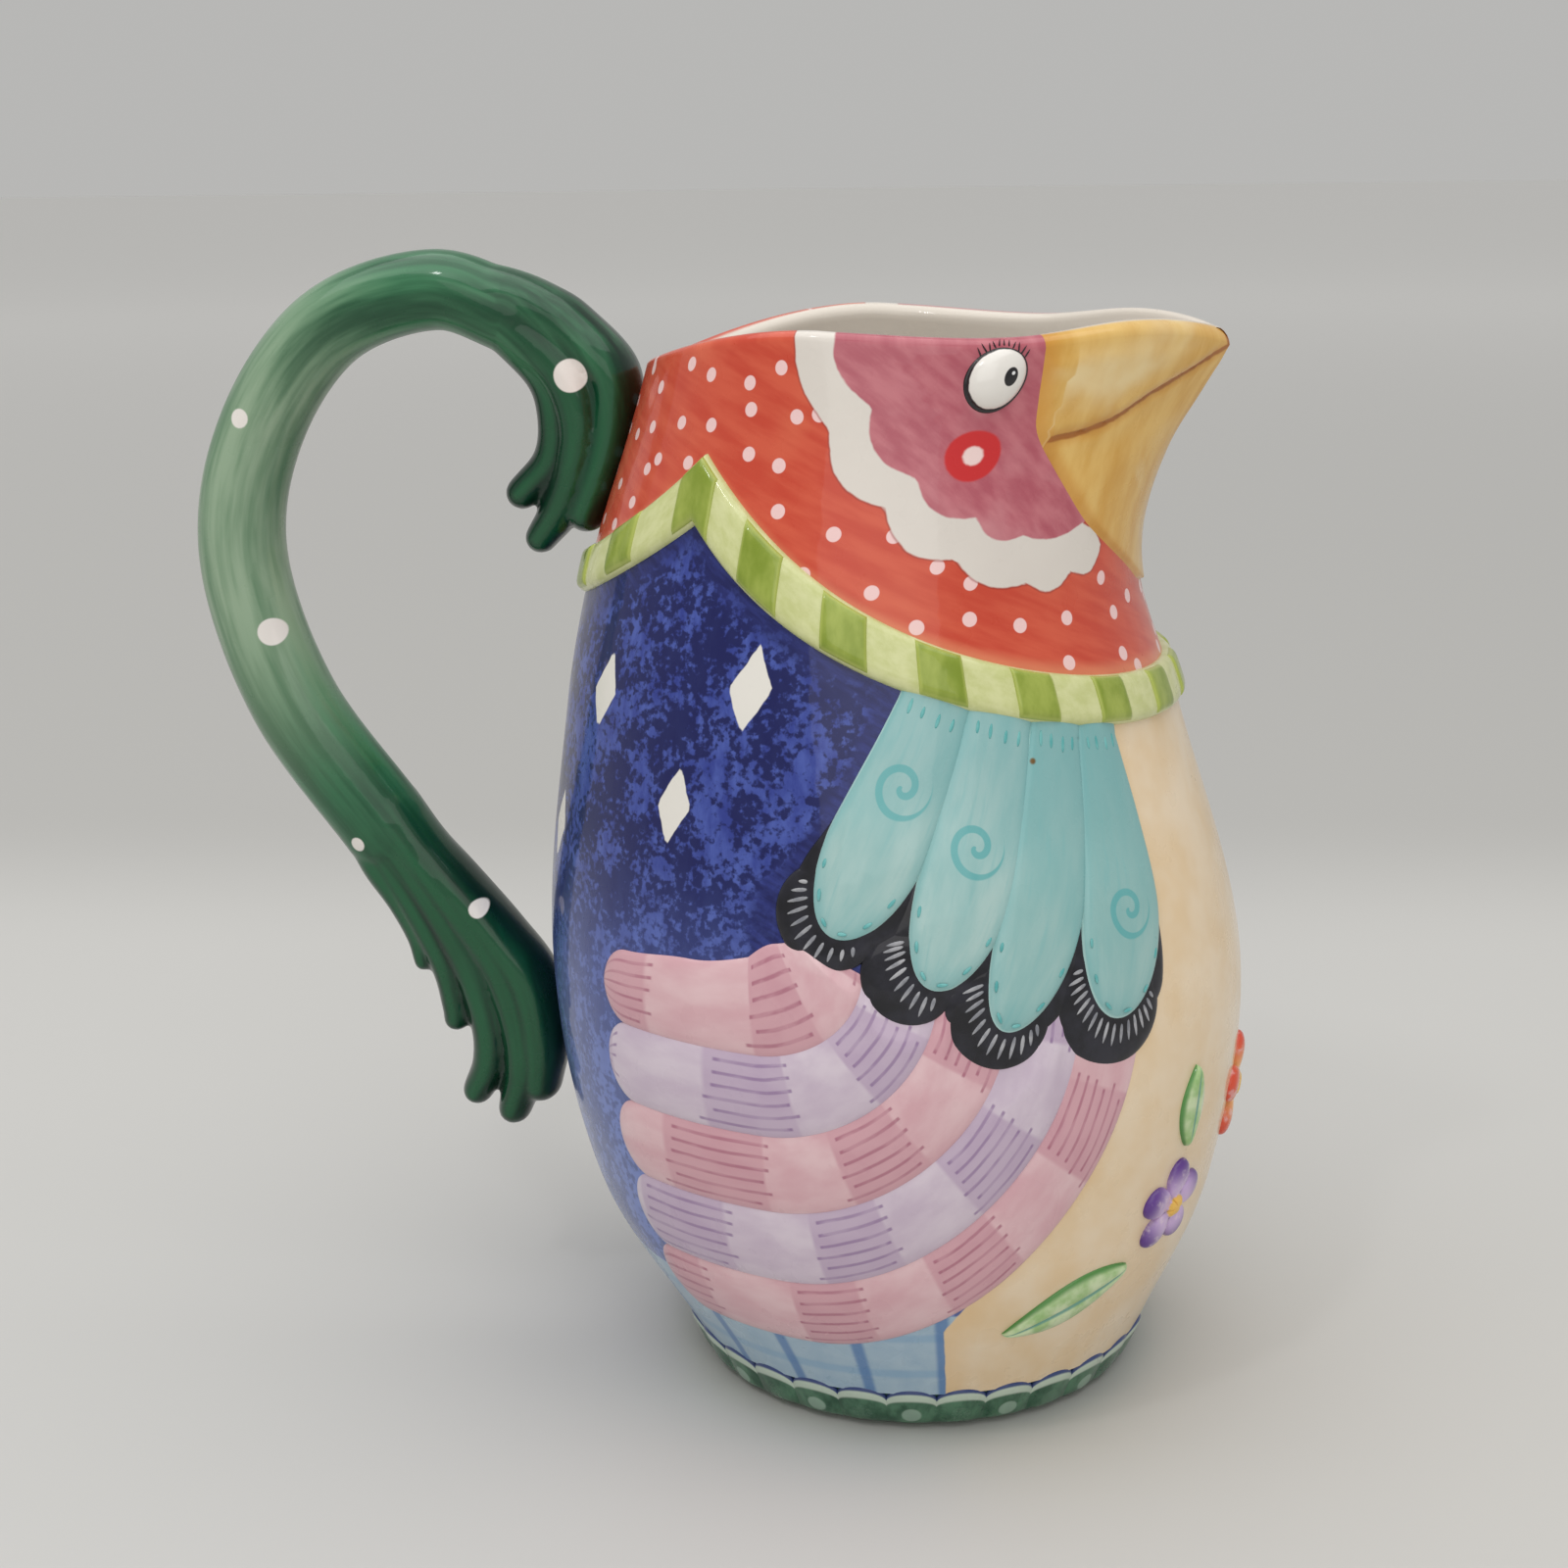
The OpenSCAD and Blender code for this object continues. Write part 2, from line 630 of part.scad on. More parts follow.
module blossom(x, z, size) {
    petals = 5;
    petal_share = 0.62;
    petal_round = 0.6;
    centre_r = size * 0.22;
    color("mediumpurple") for (i = [0:petals - 1]) relief(
        [-1, -0.4, 0.4, 1],
        [0.3, 0.5, 0.7, 0.86, 1],
        function(u, v)
            let(
                a = 90 + i * 360 / petals,
                r = v * size,
                rounding = max(0, (v - petal_round) / (1 - petal_round)),
                w = u * r * petal_share * sqrt(max(blunt, 1 - rounding^2))
            )
            on_breast(x + r * cos(a) + w * sin(a), r * sin(a) - w * cos(a), z),
        function(u, v) sprig_t * (1 - 0.5 * u^2) * (v == 1 ? 0.5 : 1),
        function(u, v) bed
    );
    color("gold") relief(
        [-1, 0, 1],
        [-1, 0, 1],
        function(u, v) on_breast(
            x + centre_r * u * sqrt(1 - v * v / 2),
            centre_r * v * sqrt(1 - u * u / 2),
            z
        ),
        function(u, v) sprig_t * (1 - 0.3 * (u * u + v * v)),
        function(u, v) bed
    );
}
module breast_blossom() {
    for (b = sprig_blossoms) blossom(b[0], blossom_z + b[1], blossom_r * b[2]);
}

module breast_leaves() {
    half_share = 0.24;
    color("darkseagreen") for (leaf = sprig_leaves) relief(
        [-1, 0, 1],
        [0, 0.12, 0.3, 0.5, 0.7, 0.88, 1],
        function(u, v)
            let(
                tilt = leaf[2],
                r = leaf[3] * v,
                w = u * leaf[3] * half_share * sin(mix(9, 171, v))
            )
            on_breast(
                leaf[0] + r * cos(tilt) + w * sin(tilt),
                leaf[1] + r * sin(tilt) - w * cos(tilt),
                blossom_z
            ),
        function(u, v) sprig_t * (1 - 0.55 * abs(u)),
        function(u, v) bed
    );
}

// Centre line of the bow, in the plane of symmetry
handle_x = -belly_back - handle_reach;
handle_crest = rim_z + handle_rise;
bow_route = [
    [0, behind(bow_top[0], bow_top[1]), bow_top[1]],
    [1, handle_x + 44.5, handle_crest],
    [2, handle_x + 15, handle_crest - 15.8],
    [3, handle_x, handle_crest - 50],
    [4, handle_x + 10.8, handle_crest - 93.5],
    [5, behind(bow_low[0], bow_low[1]), bow_low[1]]
];
function bow_at(t) = [through(bow_route, t, 1), 0, through(bow_route, t, 2)];
function bow_way(t) = let(d = bow_at(t + 0.02) - bow_at(t - 0.02)) d / norm(d);
bow_last = len(bow_route) - 1;

module handle_bow() {
    rings = [
        for (i = [0:bow_rings])
            let(
                t = bow_last * i / bow_rings,
                d = bow_way(max(0.02, min(bow_last - 0.02, t))),
                across = [d.z, 0, -d.x],
                half = mix(handle_t_top, handle_t_low, ease(t / bow_last)) / 2
            )
            [for (j = [0:bow_sides - 1])
                let(a = 360 * j / bow_sides)
                bow_at(t) + across * half * cos(a) + [0, handle_w / 2 * sin(a), 0]]
    ];
    m = bow_sides;
    sides = [
        for (i = [0:bow_rings - 1]) for (j = [0:m - 1]) let(k = (j + 1) % m) each [
            [i * m + j, i * m + k, (i + 1) * m + k],
            [i * m + j, (i + 1) * m + k, (i + 1) * m + j]
        ]
    ];
    caps = [
        for (j = [1:m - 2]) each [
            [0, j + 1, j],
            [bow_rings * m, bow_rings * m + j, bow_rings * m + j + 1]
        ]
    ];
    color("mediumseagreen") polyhedron(flat(rings), concat(sides, caps));
}

// The body as a solid block, a slip joint larger, that leaf ends are fitted to
module body_block() {
    step = 6;
    core = 0.4;
    zs = concat(low_zs, [for (t = [0.25, 0.5, 0.75, 1]) mix(beak_z, rim_z, t)]);
    turns = [0:step:360 - step];
    rings = [for (z = zs) [for (a = turns) lifted(a, z, slip)]];
    axis = [for (z = zs) [for (a = turns) let(p = skin(a, z)) [p.x * core, p.y * core, p.z]]];
    slab(rings, axis, ring = true);
}

module finger(knuckles) {
    for (i = [0:len(knuckles) - 2]) hull() for (k = [knuckles[i], knuckles[i + 1]])
        translate([behind(k[0], k[1]), 0, k[1]]) scale([k[2], k[3], k[2]]) sphere(r = 1, $fn = knuckle_fn);
}

// A leaf end: fingers trimmed square to the bow and fitted to the body
module leaf_end(fingers, t, away) {
    d = bow_way(t);
    size = 80;
    difference() {
        for (f = fingers) finger(f);
        body_block();
        translate(bow_at(t) - d * away * slip) rotate([0, atan2(d.x, d.z), 0])
            translate([-size / 2, -size / 2, away > 0 ? -slip : -size]) cube([size, size, size + slip]);
    }
}

module upper_handle_leaf() { color("darkgreen") leaf_end(upper_fingers, 0, 1); }
module lower_handle_leaf() { color("darkgreen") leaf_end(lower_fingers, bow_last, -1); }

// The bird is the same on both sides
module right_side() { children(); }
module left_side() { mirror([0, 1, 0]) children(); }

body();
beak_spout();
foot_ring();
foot_frill();
handle_bow();
upper_handle_leaf();
lower_handle_leaf();
collar_band();
collar_checks();
eye(right);  // right_eye
eye(-right);  // left_eye
for (i = [1:len(feathers)]) {
    right_side() feather(i - 1);
    left_side() feather(i - 1);
}
right_side() wing_edging();  // right_wing_edging
left_side() wing_edging();  // left_wing_edging
for (i = [1:5]) {
    right_side() tail_band(i);
    left_side() tail_band(i);
}
breast_blossom();
breast_leaves();
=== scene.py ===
# Pitcher in the form of a hen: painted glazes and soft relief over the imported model
import json
import math
import bmesh
import bpy
import numpy as np
from mathutils import Matrix, Vector

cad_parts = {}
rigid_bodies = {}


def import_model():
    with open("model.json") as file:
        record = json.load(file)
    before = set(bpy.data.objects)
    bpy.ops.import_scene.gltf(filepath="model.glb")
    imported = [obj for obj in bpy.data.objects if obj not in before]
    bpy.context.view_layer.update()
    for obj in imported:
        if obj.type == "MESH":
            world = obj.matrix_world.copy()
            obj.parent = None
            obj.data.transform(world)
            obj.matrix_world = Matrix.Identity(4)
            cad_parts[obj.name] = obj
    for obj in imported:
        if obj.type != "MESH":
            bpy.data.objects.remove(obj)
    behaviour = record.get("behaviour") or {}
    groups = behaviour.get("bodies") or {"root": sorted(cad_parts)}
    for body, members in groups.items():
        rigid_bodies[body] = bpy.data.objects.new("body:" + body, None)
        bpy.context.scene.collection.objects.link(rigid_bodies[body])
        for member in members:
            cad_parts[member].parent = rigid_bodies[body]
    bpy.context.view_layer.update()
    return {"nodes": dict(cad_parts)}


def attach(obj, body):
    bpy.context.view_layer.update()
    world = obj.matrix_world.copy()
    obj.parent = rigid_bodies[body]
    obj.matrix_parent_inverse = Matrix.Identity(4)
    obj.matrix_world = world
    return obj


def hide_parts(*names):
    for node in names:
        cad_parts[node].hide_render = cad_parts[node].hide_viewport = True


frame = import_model()
print("frame loaded:", len(frame["nodes"]), "nodes")

mm = 0.001  # shapes below are in millimetres and become metres in makePiece
mapUnit = 10  # millimetres for each unit of a paint map
sink = 0.3  # how far the raised pieces reach into the body
farOff = 1e3  # a distance well outside any outline
sides = {"right": -1, "left": 1}  # sign of the angle round from the beak


# Curves and blends

def ease(t):
    t = np.clip(t, 0, 1)
    return t * t * (3 - 2 * t)


def mix(a, b, t):
    return a + (b - a) * t


def through(rows, t):  # a smooth curve through rows of (t, values...)
    rows = np.array(rows, float)
    t = np.asarray(t, float)
    x, y = rows[:, 0], rows[:, 1:]
    slope = np.empty_like(y)
    slope[1:-1] = (y[2:] - y[:-2]) / (x[2:] - x[:-2])[:, None]
    slope[0] = (y[1] - y[0]) / (x[1] - x[0])
    slope[-1] = (y[-1] - y[-2]) / (x[-1] - x[-2])
    i = np.clip(np.searchsorted(x, t, side="right") - 1, 0, len(x) - 2)
    h = (x[i + 1] - x[i])[..., None]
    k = (t - x[i])[..., None] / h
    start = (2 * k**3 - 3 * k**2 + 1) * y[i] + (k**3 - 2 * k**2 + k) * h * slope[i]
    end = (3 * k**2 - 2 * k**3) * y[i + 1] + (k**3 - k**2) * h * slope[i + 1]
    return start + end


def rounded(reach, power=16):  # 1 inside, falling steeply to 0 where reach is 1
    return np.sqrt(np.clip(1 - np.abs(reach)**power, 0, 1))


# The skin of the body, by angle from the beak (degrees) and height (mm)

bodyShape = {
    # height, back, front and half width of each section
    "sections": [
        (10.2, -52, 52, 52), (45, -72, 66, 69), (94, -80.5, 71, 75), (150, -75.5, 56, 65),
        (180, -69.5, 47, 57), (206, -62.5, 52, 51), (230, -56, 66, 48),
    ],
    "rimKnots": [(0, -3.5), (40.6, 0), (62, -1.5), (98, 0.8), (180, -8)],
    "baseZ": 10.2,
    "floorZ": 17.2,
    "shoulderZ": 150,
    "neckZ": 180,
    "rimZ": 230,
    "headMid": -10,
    "wall": 5,
    "lipRise": 2.2,
    "floorFillet": 9,
    "lowRows": 120,
    "highRows": 44,
    "lipRows": 9,
    "innerRows": 56,
    "filletRows": 8,
    "columns": 288,
    "crease": 55,  # edges sharper than this stay sharp, in degrees
    # the wall's inside is told from its outside row by row over the lip
    "inwardStep": 0.9,
    "inwardMost": 6,
}
beakShape = {
    "sharpness": 1.8,
    "lowZ": 176,
    # height and half angle of the notch
    "notch": [
        (176, 3), (177.2, 7), (179, 10.5), (182, 16.5), (186, 24.5), (191, 33.5), (196, 40), (204, 48.4),
        (211, 54), (217, 55.8), (223, 57), (230, 58.3),
    ],
    "fan": 18,  # the columns of points below the notch spread by this angle, down to fanZ
    "fanZ": 45,
    "raise": 0.9,
    "edgeRound": 2.6,
    "rimFade": 4,  # the relief dies out over this height below the lip
    "grooveDepth": 1.1,
    "grooveWidth": 1.0,
    # angle and height of the line of the mouth
    "mouth": [
        (0, 228.4), (8, 226.8), (15, 224.2), (20, 221.4), (28.5, 216.6), (36, 211.8), (44, 209.6), (54, 209),
    ],
    "mouthEnd": 52,
    "mouthFade": 3,
    "noMouth": 30,  # stands for the distance to the line past its end
    "jawStep": 0.5,  # how far the lower jaw lies back
    "jawIn": 2.5,
    "jawReach": 14,
    "jawFade": 10,
    "columns": 96,
    "lowColumns": 24,
}


def fromBeak(a):  # angle from the beak, alike on both sides
    return np.abs((np.asarray(a, float) + 180) % 360 - 180)


def rimWave(a):
    b = fromBeak(a)
    x, y = np.array(bodyShape["rimKnots"], float).T
    i = np.clip(np.searchsorted(x, b, side="right") - 1, 0, len(x) - 2)
    return mix(y[i], y[i + 1], ease((b - x[i]) / (x[i + 1] - x[i])))


def skin(a, z):
    a, z = np.broadcast_arrays(np.asarray(a, float), np.asarray(z, float))
    rim, neck, shoulder = bodyShape["rimZ"], bodyShape["neckZ"], bodyShape["shoulderZ"]
    back, front, side = np.moveaxis(through(bodyShape["sections"], z), -1, 0)
    mid = mix((back + front) / 2, bodyShape["headMid"], ease((z - shoulder) / (rim - shoulder)))
    sharp = mix(1, beakShape["sharpness"], ease((z - neck) / (rim - neck)))
    c, s = np.cos(np.radians(a)), np.sin(np.radians(a))
    x = mid + np.where(c > 0, front - mid, mid - back) * c
    y = side * np.where(c > 0, np.sign(s) * np.abs(s)**sharp, s)
    low = beakShape["lowZ"]
    return np.stack([x, y, z + rimWave(a) * ease((z - low) / (rim - low))], -1)


def facing(a, z):
    a, z = np.asarray(a, float), np.asarray(z, float)
    n = np.cross(skin(a + 1, z) - skin(a - 1, z), skin(a, z + 0.5) - skin(a, z - 0.5))
    return n / np.linalg.norm(n, axis=-1, keepdims=True)


def lifted(a, z, h):
    return skin(a, z) + facing(a, z) * np.asarray(h, float)[..., None]


def seated(a, z, h):  # as lifted, but over the rounding of the lip
    a, z = np.broadcast_arrays(np.asarray(a, float), np.asarray(z, float))
    rise = bodyShape["lipRise"]
    top = bodyShape["rimZ"] - rise
    over = np.clip((z - top) / rise, 0, 1)
    points = lifted(a, np.minimum(z, top), h - bodyShape["wall"] / 2 * (1 - np.sqrt(1 - over**2)))
    return points + np.stack([0 * z, 0 * z, rise * over], -1)


def perDegree(a, z):  # millimetres round the skin for each degree
    a = np.asarray(a, float)
    return np.linalg.norm(skin(a + 1, z) - skin(a - 1, z), axis=-1) / 2


def behind(gap, z):  # x of a point a distance behind the back
    return through(bodyShape["sections"], np.minimum(z, bodyShape["rimZ"]))[..., 0] - gap


# Meshes

def gridFaces(rows, cols, start=0):
    i, j = np.meshgrid(np.arange(rows - 1), np.arange(cols - 1), indexing="ij")
    k = (start + i * cols + j).ravel()
    return np.stack([k, k + 1, k + cols + 1, k + cols], 1)


def strip(a, b):  # quads between two rows of vertices
    return np.stack([a[:-1], a[1:], b[1:], b[:-1]], 1)


def wallEnd(path):  # quads that close the end of a wall, from a path up its outside and down its inside
    middle = len(path) // 2
    return strip(path[:middle + 1], path[::-1][:middle + 1])


def spread(values, cols):  # one value for each row, repeated along it
    return np.repeat(values[:, None], cols, 1)


def linked(name, data):  # an object in the scene
    thing = bpy.data.objects.new(name, data)
    bpy.context.scene.collection.objects.link(thing)
    return thing


def addField(mesh, name, values, kind="FLOAT"):  # a value for each point
    data = mesh.attributes.new(name, kind, "POINT").data
    key = "vector" if kind == "FLOAT_VECTOR" else "value"
    data.foreach_set(key, np.asarray(values, np.float32).ravel())


def makePiece(name, points, faces, uv, fields=None):
    mesh = bpy.data.meshes.new(name)
    mesh.from_pydata((np.asarray(points).reshape(-1, 3) * mm).tolist(), [], np.asarray(faces).tolist())
    for key, values in (fields or {}).items():
        addField(mesh, key, values)
    loops = np.empty(len(mesh.loops), np.int32)
    mesh.loops.foreach_get("vertex_index", loops)
    corners = np.asarray(uv, np.float32).reshape(-1, 2)[loops]
    mesh.uv_layers.new(name="paint").data.foreach_set("uv", corners.ravel())
    cleanMesh(mesh)
    return linked(name, mesh)


def cleanMesh(mesh):  # close seams and poles, turn the faces outwards, smooth the shading
    work = bmesh.new()
    work.from_mesh(mesh)
    bmesh.ops.remove_doubles(work, verts=work.verts, dist=1e-7)
    bmesh.ops.recalc_face_normals(work, faces=work.faces)
    work.to_mesh(mesh)
    work.free()
    mesh.shade_smooth()


def slab(top, low, uv, ring=False):  # points, faces and paint map of a closed sheet between two grids
    rows, cols = top.shape[:2]
    count = rows * cols
    faces = [gridFaces(rows, cols), gridFaces(rows, cols, count)]
    index = np.arange(count).reshape(rows, cols)
    borders = [index[-1]] if ring == "disc" else [index[0], index[-1]]
    if not ring:
        borders += [index[:, 0], index[:, -1]]
    faces += [strip(edge, edge + count) for edge in borders]
    points = np.concatenate([top.reshape(-1, 3), low.reshape(-1, 3)])
    flat = np.stack(uv, -1).reshape(-1, 2)
    return points, np.concatenate(faces), np.concatenate([flat, flat])


def raised(a, z, rise, uv, ring=False):  # a sheet that stands out of the skin
    return slab(lifted(a, z, rise), lifted(a, z, np.full(a.shape, -sink)), uv, ring)


def relief(place, rise, across, along, side, uv=None, ring=False):
    # place(u, v) gives angle and height, rise(u, v) how far it stands out
    u, v = np.meshgrid(across, along)
    a, z = place(u, v)
    return raised(side * a, z, rise(u, v), uv(u, v) if uv else (u, v), ring)


def joined(parts):  # several (points, faces, uv) as one
    points, faces, uvs, start = [], [], [], 0
    for p, f, uv in parts:
        points.append(p)
        faces.append(f + start)
        uvs.append(uv)
        start += len(p)
    return np.concatenate(points), np.concatenate(faces), np.concatenate(uvs)


def crowded(n):  # positions from -1 to 1, closer together at both ends
    return np.sin(np.linspace(-math.pi / 2, math.pi / 2, n))


def crowdedEnd(n):  # positions from 0 to 1, closer together towards 1
    return np.sin(np.linspace(0, math.pi / 2, n))


def dress(piece, material, slotName, *nodes):  # finish and the solids that a piece stands for; slotName is not used
    piece.data.materials.clear()
    piece.data.materials.append(material)
    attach(piece, "root")
    if nodes:
        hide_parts(*nodes)
    return piece


# Node helpers for the glazes and for what repeats

def tint(r, g, b):  # a colour as seen on screen, 0 to 255, made linear
    shares = [c / 255 for c in (r, g, b)]
    return tuple(c / 12.92 if c <= 0.04045 else ((c + 0.055) / 1.055)**2.4 for c in shares) + (1,)


class Brush:
    def __init__(self, tree):
        self.tree = tree

    def add(self, kind, inputs=None, **settings):  # inputs by name or number, as values or links
        node = self.tree.nodes.new(kind)
        for key, value in settings.items():
            setattr(node, key, value)
        for key, value in (inputs or {}).items():
            self.put(node.inputs[key], value)
        return node

    def put(self, socket, value):
        if isinstance(value, bpy.types.NodeSocket):
            self.tree.links.new(value, socket)
        else:
            socket.default_value = value

    def math(self, operation, *values):
        return self.add("ShaderNodeMath", dict(enumerate(values)), operation=operation).outputs[0]

    def times(self, a, b):
        return self.math("MULTIPLY", a, b)

    def reach(self, x, y):  # distance from the middle
        return self.math("SQRT", self.math("ADD", self.times(x, x), self.times(y, y)))

    def jitter(self, value, amount):  # noise of 0 to 1 as a shift to both sides
        return self.math("MULTIPLY_ADD", value, amount, -amount / 2)

    def stripe(self, value):  # 0 midway between whole numbers, 0.5 at them
        return self.math("ABSOLUTE", self.math("SUBTRACT", self.math("FRACT", value), 0.5))

    def ramp(self, value, low, high, start=0.0, end=1.0):  # a soft step
        inputs = dict(enumerate((value, low, high, start, end)))
        return self.add("ShaderNodeMapRange", inputs, interpolation_type="SMOOTHSTEP").outputs[0]

    def blend(self, amount, low, top):  # of colours: links, or three numbers as tint takes them
        low, top = (c if isinstance(c, bpy.types.NodeSocket) else tint(*c) for c in (low, top))
        return self.add("ShaderNodeMix", {0: amount, 6: low, 7: top}, data_type="RGBA").outputs[2]

    def over(self, low, top, value, *step):  # a colour laid over another by a soft step of a value
        return self.blend(self.ramp(value, *step), low, top)

    def field(self, name, output="Fac"):
        return self.add("ShaderNodeAttribute", attribute_name=name).outputs[output]

    def paintMap(self):
        return self.add("ShaderNodeUVMap", uv_map="paint").outputs[0]

    def place(self):
        return self.add("ShaderNodeTexCoord").outputs["Object"]

    def stretch(self, vector, scale, turn=0.0):
        if turn:
            inputs = {"Vector": vector, "Angle": math.radians(turn)}
            vector = self.add("ShaderNodeVectorRotate", inputs, rotation_type="Z_AXIS").outputs[0]
        return self.add("ShaderNodeMapping", {"Vector": vector, "Scale": scale}).outputs[0]

    def noise(self, vector, scale, detail=3.0, roughness=0.55, distortion=0.0):
        grain = {"Scale": scale, "Detail": detail, "Roughness": roughness, "Distortion": distortion}
        return self.add("ShaderNodeTexNoise", {"Vector": vector, **grain}).outputs[0]

    def spots(self, vector, scale, randomness, dimensions="2D"):
        inputs = {"Vector": vector, "Scale": scale, "Randomness": randomness}
        return self.add("ShaderNodeTexVoronoi", inputs, voronoi_dimensions=dimensions).outputs

    def split(self, vector):
        return self.add("ShaderNodeSeparateXYZ", {0: vector}).outputs


glazeLook = {
    "specular": 0.2,
    "coatRoughness": 0.05,
    "cloud": 90,  # scale of the patches of roughness
    "ripple": 130,  # scale of the ripples
    "rippleDepth": 0.002,
    "speckColour": (112, 84, 40),
    "speckShare": 0.2,
    # cream of the inside, toned darker as painted shade in the hollow of the vessel
    "inside": (220, 211, 199),
    "lipEdge": (-0.6, 0.6),  # the outside turns into the inside over this stretch of the lip
}


def glaze(name, paint, rough=(0.24, 0.38), coat=0.5, ripple=0.05):
    material = bpy.data.materials.new(name)
    material.use_nodes = True
    tree = material.node_tree
    shader = tree.nodes["Principled BSDF"]
    brush = Brush(tree)
    brush.put(shader.inputs["Base Color"], paint(brush))
    place = brush.place()
    cloud = brush.noise(place, glazeLook["cloud"], 4)
    brush.put(shader.inputs["Roughness"], brush.ramp(cloud, 0.3, 0.7, *rough))
    shader.inputs["Specular IOR Level"].default_value = glazeLook["specular"]
    shader.inputs["Coat Weight"].default_value = coat
    shader.inputs["Coat Roughness"].default_value = glazeLook["coatRoughness"]
    waves = brush.noise(place, glazeLook["ripple"], 2)
    relieved = {"Strength": ripple, "Distance": glazeLook["rippleDepth"], "Height": waves}
    bump = brush.add("ShaderNodeBump", relieved).outputs[0]
    brush.put(shader.inputs["Normal"], bump)
    brush.put(shader.inputs["Coat Normal"], bump)
    return material


def specks(b, colour, place, scale=70.0, size=0.035):  # stray iron specks in the glaze
    cell = b.spots(place, scale, 1.0, "3D")
    chosen = b.math("GREATER_THAN", b.split(cell["Color"])[0], 1 - glazeLook["speckShare"])
    mask = b.times(chosen, b.ramp(cell["Distance"], size * 1.6, size))
    return b.blend(mask, colour, glazeLook["speckColour"])


def lined(b, outside, place):  # the pale glaze inside the vessel
    # the inside colour carries painted shade for the hollow
    inside = specks(b, glazeLook["inside"], place)
    return b.over(outside, inside, b.field("inner"), *glazeLook["lipEdge"])


# Outlines painted on the skin, as signed distances in millimetres (negative inside)

paintScale = 0.95  # millimetres for each degree round the neck, used to measure the outlines


def outlineGap(points, a, z):  # distance to a closed outline of (angle, height)
    p = np.array(points, float) * (paintScale, 1)
    q = np.stack([a * paintScale, z], -1)
    nearest = np.full(a.shape, 1e9)
    inside = np.zeros(a.shape, bool)
    for s, e in zip(p, np.roll(p, -1, 0)):
        edge = e - s
        k = np.clip(((q - s) @ edge) / (edge @ edge), 0, 1)
        nearest = np.minimum(nearest, np.linalg.norm(q - s - k[..., None] * edge, axis=-1))
        crossing = (s[1] > q[..., 1]) != (e[1] > q[..., 1])
        rise = edge[1] if edge[1] else 1e-9
        inside ^= crossing & (q[..., 0] < s[0] + edge[0] * (q[..., 1] - s[1]) / rise)
    return np.where(inside, -nearest, nearest)


def scallopGap(lobes, closing, a, z):  # an outline of round lobes: where each starts, and its bulge
    outline = []
    share = np.linspace(0, 1, 9)[:-1, None]
    for (sa, sz, bulge), (ea, ez, _) in zip(lobes, lobes[1:]):
        start, end = np.array([sa * paintScale, sz]), np.array([ea * paintScale, ez])
        out = np.array([start[1] - end[1], end[0] - start[0]]) * 4 * bulge * share * (1 - share)
        outline += ((mix(start, end, share) + out) / (paintScale, 1)).tolist()
    return outlineGap(outline + [lobes[-1][:2]] + closing, a, z)


# Body: the hollow vessel with its lip, floor and the notch that the beak closes

headPaint = {
    # scallops of the face and of the pale ruff round it: angle and height where each starts, and its bulge
    "face": [
        (88.5, 232, 0.2), (84, 216.2, 0.24), (75.4, 203.2, 0.21), (62.2, 195.4, 0.23), (51.2, 191, 0.12),
        (36.6, 191.4, 0),
    ],
    "faceClosing": [(24, 196), (24, 250), (88, 250)],
    "ruff": [
        (99.2, 232, 0.12), (91.5, 211.6, 0.24), (80.4, 197.6, 0.22), (65.5, 187.6, 0.17), (49, 181.8, 0.26),
        (37.5, 182.8, 0.3), (27.9, 186.6, 0.1), (35.5, 191.4, 0),
    ],
    "ruffClosing": [(36, 198), (50, 250), (98, 250)],
    "cheek": (65.5, 207.4),
    "cheekR": 5,
}
flankPaint = {
    "scale": 1.2,  # millimetres for each degree round the flank
    "breastEdge": [(10, 76), (30, 76), (46, 66), (66, 55), (90, 47), (110, 44), (160, 34)],  # height, angle
    "wingEdge": [(96, 84), (106, 97), (116, 101), (126, 99), (134, 91.5), (141, 87.5), (148, 83), (170, 74)],
    "belowWing": 99,  # stands for the distance to the wing further down
    "plaidTop": 34,
    "plaidEnd": 150,
    # diamonds on the saddle: angle, height, half width, half height
    "diamonds": [(103, 163, 4.6, 8.6), (118, 139, 4.2, 8), (139, 158, 4.4, 8.4), (156, 126, 4.2, 8)],
    "lean": 0.22,  # of the diamonds, across for each millimetre up
}
collarShape = {
    "frontZ": 155.5,
    "peakZ": 200,
    "backZ": 177,
    "peak": 120,
    "frontRise": 2.6,
    "height": 9.5,
    "peakHeight": 14,
    "thickness": 2.0,
    "roundness": 5,
    "columns": 540,
    "checksFront": 7,
    "checksBack": 3,
    "checkWidth": 8.8,
    "checkReach": 0.45,
    "checkRise": 0.55,
    "checkRoundness": 10,
    "checkSeat": 0.02,
}


def beakHalf(z):
    z = np.asarray(z, float)
    low = beakShape["lowZ"]
    below = beakShape["notch"][0][1] + beakShape["fan"] * ease((low - z) / (low - beakShape["fanZ"]))
    return np.where(z < low, below, through(beakShape["notch"], np.maximum(z, low))[..., 0])


def wallPath(lowZ):  # heights, offsets and rises up the outside, over the lip and down the inside
    top = bodyShape["rimZ"] - bodyShape["lipRise"]
    z = np.linspace(lowZ, top, bodyShape["highRows"])
    turn = np.linspace(0, math.pi, bodyShape["lipRows"])[1:-1]
    heights = np.concatenate([z, np.full(len(turn), top), z[::-1]])
    half = bodyShape["wall"] / 2
    offsets = np.concatenate([0 * z, -half * (1 - np.cos(turn)), np.full(len(z), -2 * half)])
    rises = np.concatenate([0 * z, bodyShape["lipRise"] * np.sin(turn), 0 * z])
    return heights, offsets, rises


def inward(rows, lip):  # negative up the outside, 0 on the row of the lip, positive down the inside
    most = bodyShape["inwardMost"]
    return np.clip((np.arange(rows) - lip) * bodyShape["inwardStep"], -most, most)


